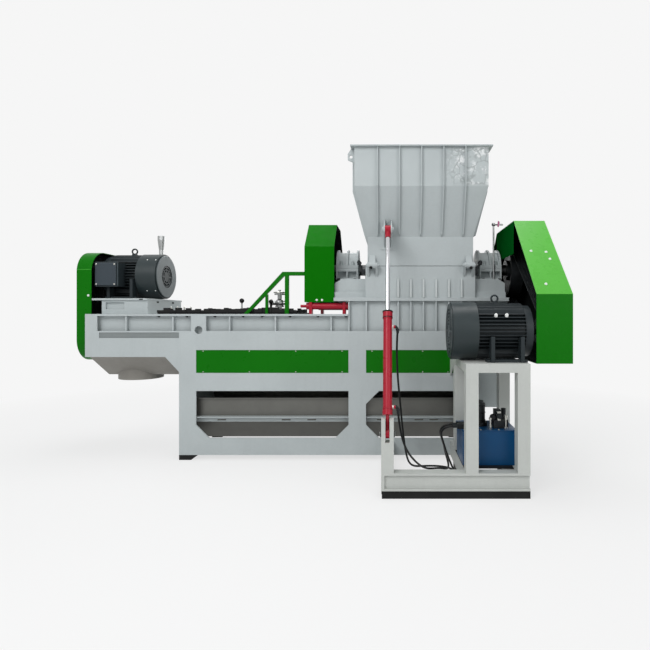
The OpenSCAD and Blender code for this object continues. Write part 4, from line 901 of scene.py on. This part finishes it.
def deck_details():
    """Bolts under the deck and at the motors' feet, and what stands on the trough's lids."""
    under = [-2325, -2043, -1761, -1479, -1288, -1006, -725, -443]
    deck_spots = [(x, y, DECK_UNDERSIDE) for x in under for y in (30, FRAME_D - 30)]
    put_bolts("deck_bolts", deck_spots, DOWN, radius=0.013)
    plate_face = PLINTH_X1 - TOUCH
    # Painted shade: thin dark patches stand for the shade inside the slots
    slots = blocks(((-2556, 88.5, 1604), (-2520, 91, 1614)),
                   ((plate_face, 300, 1578), (plate_face + 2, 345, 1594)),
                   ((plate_face, FRAME_D - 345, 1578), (plate_face + 2, FRAME_D - 300, 1594)))
    new_piece("pedestal_slot_shade", slots, PAINTED_SHADE_DARK, "frame")
    screw_feet = [(x, y, 1643) for x in (-2960, -2720) for y in (270, FRAME_D - 270)]
    put_bolts("motor_foot_bolts", screw_feet, UP, radius=0.014)
    crusher_feet = [(x, y, 1088) for x in (830, 1085) for y in (-868, -412)]
    put_bolts("stand_motor_bolts", crusher_feet, UP, radius=0.014)
    cover_seal()
    clamp = [(9, 0), (9, 20), (16, 21), (16, 30), (7, 31), (7, 60), (4, 64)]
    turned("cover_clamps", [((x, 168, COVER_TOP), UP, clamp) for x in (-2266, -2200, -2130, -2060)], ZINC)
    knob_y = 220
    turned("valve_knob", [((-1550, knob_y, 1570), UP, ball(25, 6))], BLACK_BOLT)
    stem = [(12, 0), (12, 60), (26, 62)]
    turned("cover_knob", [((-1245, knob_y, 1500), UP, stem + ball(24, 66)[2:])], BLACK_BOLT)
    hub_x, hub_y, hub_z, spoke = -1180, 330, 1690, 56
    wheel = bmesh.new()
    torus(wheel, at(hub_x, hub_y, hub_z), UP, radius=0.058, thick=0.007)
    for turn in range(3):
        angle = math.radians(120 * turn)
        tip = at(hub_x + spoke * math.cos(angle), hub_y + spoke * math.sin(angle), hub_z)
        add_tube(wheel, [at(hub_x, hub_y, hub_z), tip], radius=0.005, sides=8)
    new_piece("valve_wheel", wheel, ZINC, "frame")


def panel_screws():
    """Small screws along the upper and lower edges of the green panels, front and rear."""
    proud, end = 3.5, 60
    spots = [(x, z) for x0, x1 in ((-1930, -420), (-240, 640)) for z in (881, 1089)
             for x in spaced(x0 + end, x1 - end, 4)]
    for name, y, direction in (("panel_screws", proud, FRONT), ("rear_panel_screws", FRAME_D - proud, BACK)):
        put_bolts(name, [(x, y, z) for x, z in spots], direction, radius=0.004, material=ZINC)


def guard_details():
    """Screws on the three guards, some of them near-white as painted glints, a painted highlight strip along
    the left guard's fold, and the grease lever beside the drive guard.
    """
    slope_spots = [(1272, -466, 2028), (1404, -476, 2018), (1416, -545, 1947), (1305, -775, 1711)]
    slope_faces = (0, -0.716, 0.698)
    # Painted highlight: these screws are near-white for their glints
    put_bolts("guard_slope_screws", slope_spots, slope_faces, radius=0.009, material=GLINT_WHITE)
    # Painted highlight: a thin lighter green strip along the left guard's fold
    fold = blocks(((LEFT_GUARD_WALL + 1, LEFT_GUARD_FRONT - 2.5, 1912),
                   (LEFT_GUARD_OPEN - 1, LEFT_GUARD_FRONT + TOUCH, 1918)))
    new_piece("left_guard_fold_highlight", fold, FOLD_HIGHLIGHT_GREEN, "frame")
    wheel_guard_front = 50
    # Painted highlight: near-white screws for their glints
    screws = [(-3080, LEFT_GUARD_FRONT - TOUCH, z) for z in (1150, 1650)]
    screws += [(x, wheel_guard_front - TOUCH, 1601) for x in (-687, -740)]
    put_bolts("guard_screws", screws, FRONT, radius=0.008, material=GLINT_WHITE)
    side_spots = [(DRIVE_GUARD_WALL - TOUCH, y, z) for y, z in
                  ((-800, 1110), (-800, 1560), (60, 1150), (700, 2200), (0, 2290))]
    put_bolts("guard_side_screws", side_spots, RIGHT, radius=0.010, material=ZINC)
    lever = bmesh.new()
    lever_side = [(1122, 2372), (1134, 2366), (1146, 2414), (1140, 2432), (1126, 2428)]
    add_prism(lever, lever_side, Y_AXIS, 208, 218)
    soften(new_piece("grease_lever", lever, PINK, "frame"), 0.003)


def hinge_details():
    """Bolts at the hopper's hinge ears and on the bearings' feet."""
    put_bolts("hinge_bolts", [(x, -77, 1915) for x in (-188, CRUSHER_X * 2 + 188)], FRONT, radius=0.011)
    feet = [(CRUSHER_X + side * reach, y, 1820) for side in (-1, 1) for reach in (675, 845)
            for y in (235, FRAME_D - 235)]
    put_bolts("bearing_bolts", feet, UP, radius=0.014)


def motor_details():
    """The cowl's face, a darker grey strip in the overhang's channel as painted shade, the terminal box with
    a lighter rim as painted highlight, and the motors' screws and fittings, some near-white as painted
    glints.
    """
    cowl_end, face_ring = -2468.5, [(124, 0), (122, 5), (224, 5), (230.5, 0)]
    face = bmesh.new()
    add_ring(face, at(cowl_end, MIDDLE_Y, SCREW_MOTOR_Z), RIGHT, metres(face_ring))
    new_piece("cowl_face", face, CAP_GREY, "frame")
    # Painted shade: a darker grey strip at the back of the overhang's channel
    x0, x1, foot, back = -2908, -2112, 1221, 8.6
    channel = blocks(((x0, 6, foot), (x1, back, 1274)), ((x0, TOUCH, foot), (x1, back, foot + 3)))
    new_piece("overhang_channel_shade", mirrored(channel, Y_AXIS, MIDDLE_Y), CHANNEL_SHADE_GREY, "frame")
    lid = blocks(((-3032, 128, 1753), (-2818, 142.5, 1987)))
    soften(new_piece("terminal_lid", lid, MOTOR_DARK, "frame"), 0.008)
    # Painted highlight: a lighter grey frame around the terminal lid
    left, right, low, high, width, front, rear = -3042, -2808, 1743, 1997, 12, 143, 160
    rim = blocks(((left, front, low), (left + width, rear, high)),
                 ((right - width, front, low), (right, rear, high)),
                 ((left, front, high - width), (right, rear, high)),
                 ((left, front, low), (right, rear, low + width)))
    soften(new_piece("terminal_rim_highlight", rim, RIM_HIGHLIGHT_GREY, "frame"), 0.003)
    corners = [(x, 128 + TOUCH, z) for x in (left + 24, right - 24) for z in (low + 24, high - 24)]
    put_bolts("terminal_screws", corners, FRONT, radius=0.006, material=ZINC)
    # Painted highlight: the cowl screws and the motor's top fittings are near-white for their glints
    cowl_radius, screw = 245, [(6, -1), (6, 3), (4, 4)]
    rows = []
    for x in (-2590, -2500):
        for a in (0.75, -0.72):
            out = Vector((0, -math.cos(a), math.sin(a)))
            rows.append((Vector((x, MIDDLE_Y, SCREW_MOTOR_Z)) + cowl_radius * out, out, screw))
    turned("cowl_screws", rows, GLINT_WHITE, sides=12)
    fitting, tilt = [(14, 0), (14, 18), (8, 20), (8, 26)], (0, -0.5, 0.85)
    turned("motor_top_fittings", [((x, -840, 1440), tilt, fitting) for x in (872, 960)], GLINT_WHITE,
           sides=16)


def lift_details():
    """Rings, bands and port nuts along the lift barrel, and the caps of the post's pin."""
    lean = Vector((0, 650, 1750)).normalized()
    foot = Vector((-20, -950, 500))
    gland_at, ring_at, band_at, upper_port, lower_port = 1036, 985, 198, 905, 215
    gland, ring = [(44, 0), (46, 2), (46, 12), (44, 14)], [(44, 0), (45, 1), (45, 7), (44, 8)]
    turned("gland_ring", [(foot + lean * gland_at, lean, gland), (foot + lean * ring_at, lean, ring)],
           BLACK_BOLT, "barrel")
    turned("barrel_bands", [(foot + lean * band_at, lean, [(39, 0), (41, 1), (41, 8), (39, 9)])],
           MATERIALS["red_paint"], "barrel")
    nut = [(17, 0), (17, 12), (14, 14), (14, 26), (12, 28)]
    ports = [foot + lean * distance for distance in (upper_port, lower_port)]
    turned("port_nuts", [((18, place.y, place.z), RIGHT, nut) for place in ports], ZINC, "barrel",
           sides=6)
    cap, half_pin = [(26, 0), (26, 8), (12, 9), (12, 16), (9, 18)], 50
    turned("post_pin_caps", [((foot.x + half_pin, foot.y, foot.z), RIGHT, cap),
                             ((foot.x - half_pin, foot.y, foot.z), LEFT, cap)], BLACK_BOLT)


def tank_details():
    """Screws on the tank's lid, and the pump's bands, fittings and gauge."""
    x0, y0, top = 605, -810, 496
    lid_spots = [(x0 + dx, y0 + dy, top) for dx in (12, 150, 300, 433) for dy in (10, 350)]
    put_bolts("tank_screws", lid_spots, UP, radius=0.006, material=ZINC)
    band = [(62, 0), (62, 6), (66, 8), (66, 14), (62, 16)]
    turned("pump_bands", [((x0 + 160, y0 + 200, top + h), UP, band) for h in (34, 100, 160)], BLACK_BOLT)
    short = [(16, 0), (16, 20), (10, 22), (10, 60), (18, 62), (18, 76)]
    tall = [(20, 0), (20, 12), (11, 14), (11, 90), (16, 92), (16, 110)]
    slim = [(14, 0), (14, 30), (8, 32), (8, 74), (13, 76), (13, 92)]
    turned("pump_fittings", [((x0 + 310, y0 + 55, top + 70), UP, short), ((x0 + 372, y0 + 70, top), UP, tall),
                             ((x0 + 240, y0 + 60, top), UP, slim)], ZINC, sides=16)
    gauge = [(26, -10), (26, 8), (22, 12), (20, 9), (2, 9)]
    turned("pump_gauge", [((x0 + 262, y0 + 60, top + 96), FRONT, gauge)], BLACK_BOLT)


deck_details()
panel_screws()
guard_details()
hinge_details()
motor_details()
lift_details()
tank_details()


# Floor, light and world
# The pale backdrop's level, the floor's own grey, and the share of the pale level near the object
PALE = 0.922
FLOOR_GREY = 0.80
NEAR_SHARE = 0.72
# Distances from the middle, in metres, between which the floor turns into the backdrop
FADE_FROM, FADE_TO = 2.6, 6.5
FLOOR_HALF = 40
WORLD_LIGHT, WORLD_STRENGTH = (0.95, 0.98, 1.0, 1), 0.29


def studio():
    """A world that lights the object evenly and looks pale to the camera."""
    world = bpy.data.worlds.new("studio")
    bpy.context.scene.world = world
    m = Nodes(world)
    light = m.add("ShaderNodeBackground", {"Color": WORLD_LIGHT, "Strength": WORLD_STRENGTH}).outputs[0]
    back = m.grey("ShaderNodeBackground", PALE, Strength=1.0)
    m.shown(m.pale_rays(), light, back, "ShaderNodeOutputWorld")


def floor():
    """A floor that keeps the object's shadow and meets the backdrop without a line."""
    work = bmesh.new()
    bmesh.ops.create_grid(work, x_segments=1, y_segments=1, size=FLOOR_HALF)
    mesh = bpy.data.meshes.new("floor")
    work.to_mesh(mesh)
    work.free()
    obj = bpy.data.objects.new("floor", mesh)
    bpy.context.scene.collection.objects.link(obj)
    m = Nodes(bpy.data.materials.new("floor"))
    reach = m.add("ShaderNodeVectorMath", {0: m.place()}, operation="LENGTH").outputs["Value"]
    far = m.ramp(m.span(reach, FADE_FROM, FADE_TO), (0.0, NEAR_SHARE), (1.0, 1.0))
    m.shown(m.times(m.pale_rays(), far), m.grey("ShaderNodeBsdfDiffuse", FLOOR_GREY),
            m.grey("ShaderNodeEmission", PALE, Strength=1.0), "ShaderNodeOutputMaterial")
    mesh.materials.append(m.owner)


def area_light(name, place, target, size, power):
    """A square lamp that faces a point."""
    data = bpy.data.lights.new(name, "AREA")
    data.shape = "SQUARE"
    data.size = size
    data.energy = power
    obj = bpy.data.objects.new(name, data)
    obj.location = place
    obj.rotation_euler = (Vector(target) - Vector(place)).to_track_quat("-Z", "Y").to_euler()
    bpy.context.scene.collection.objects.link(obj)


studio()
floor()
area_light("key", place=(-2.5, -6.5, 6.0), target=(0, 0, 1.2), size=4.0, power=345)
area_light("fill", place=(5.0, -5.5, 3.5), target=(0.8, 0, 1.2), size=4.0, power=110)
area_light("top", place=(0.5, 0.5, 7.5), target=(0.3, 0.2, 1.0), size=5.0, power=300)
area_light("rear", place=(-1.0, 6.5, 4.5), target=(0, 0, 1.2), size=4.0, power=150)

# The motors' fins are too thin for softened edges
FINNED = ("screw_motor", "crusher_motor")
for part_name, part_obj in nodes.items():
    if part_name not in FINNED:
        soften(part_obj)
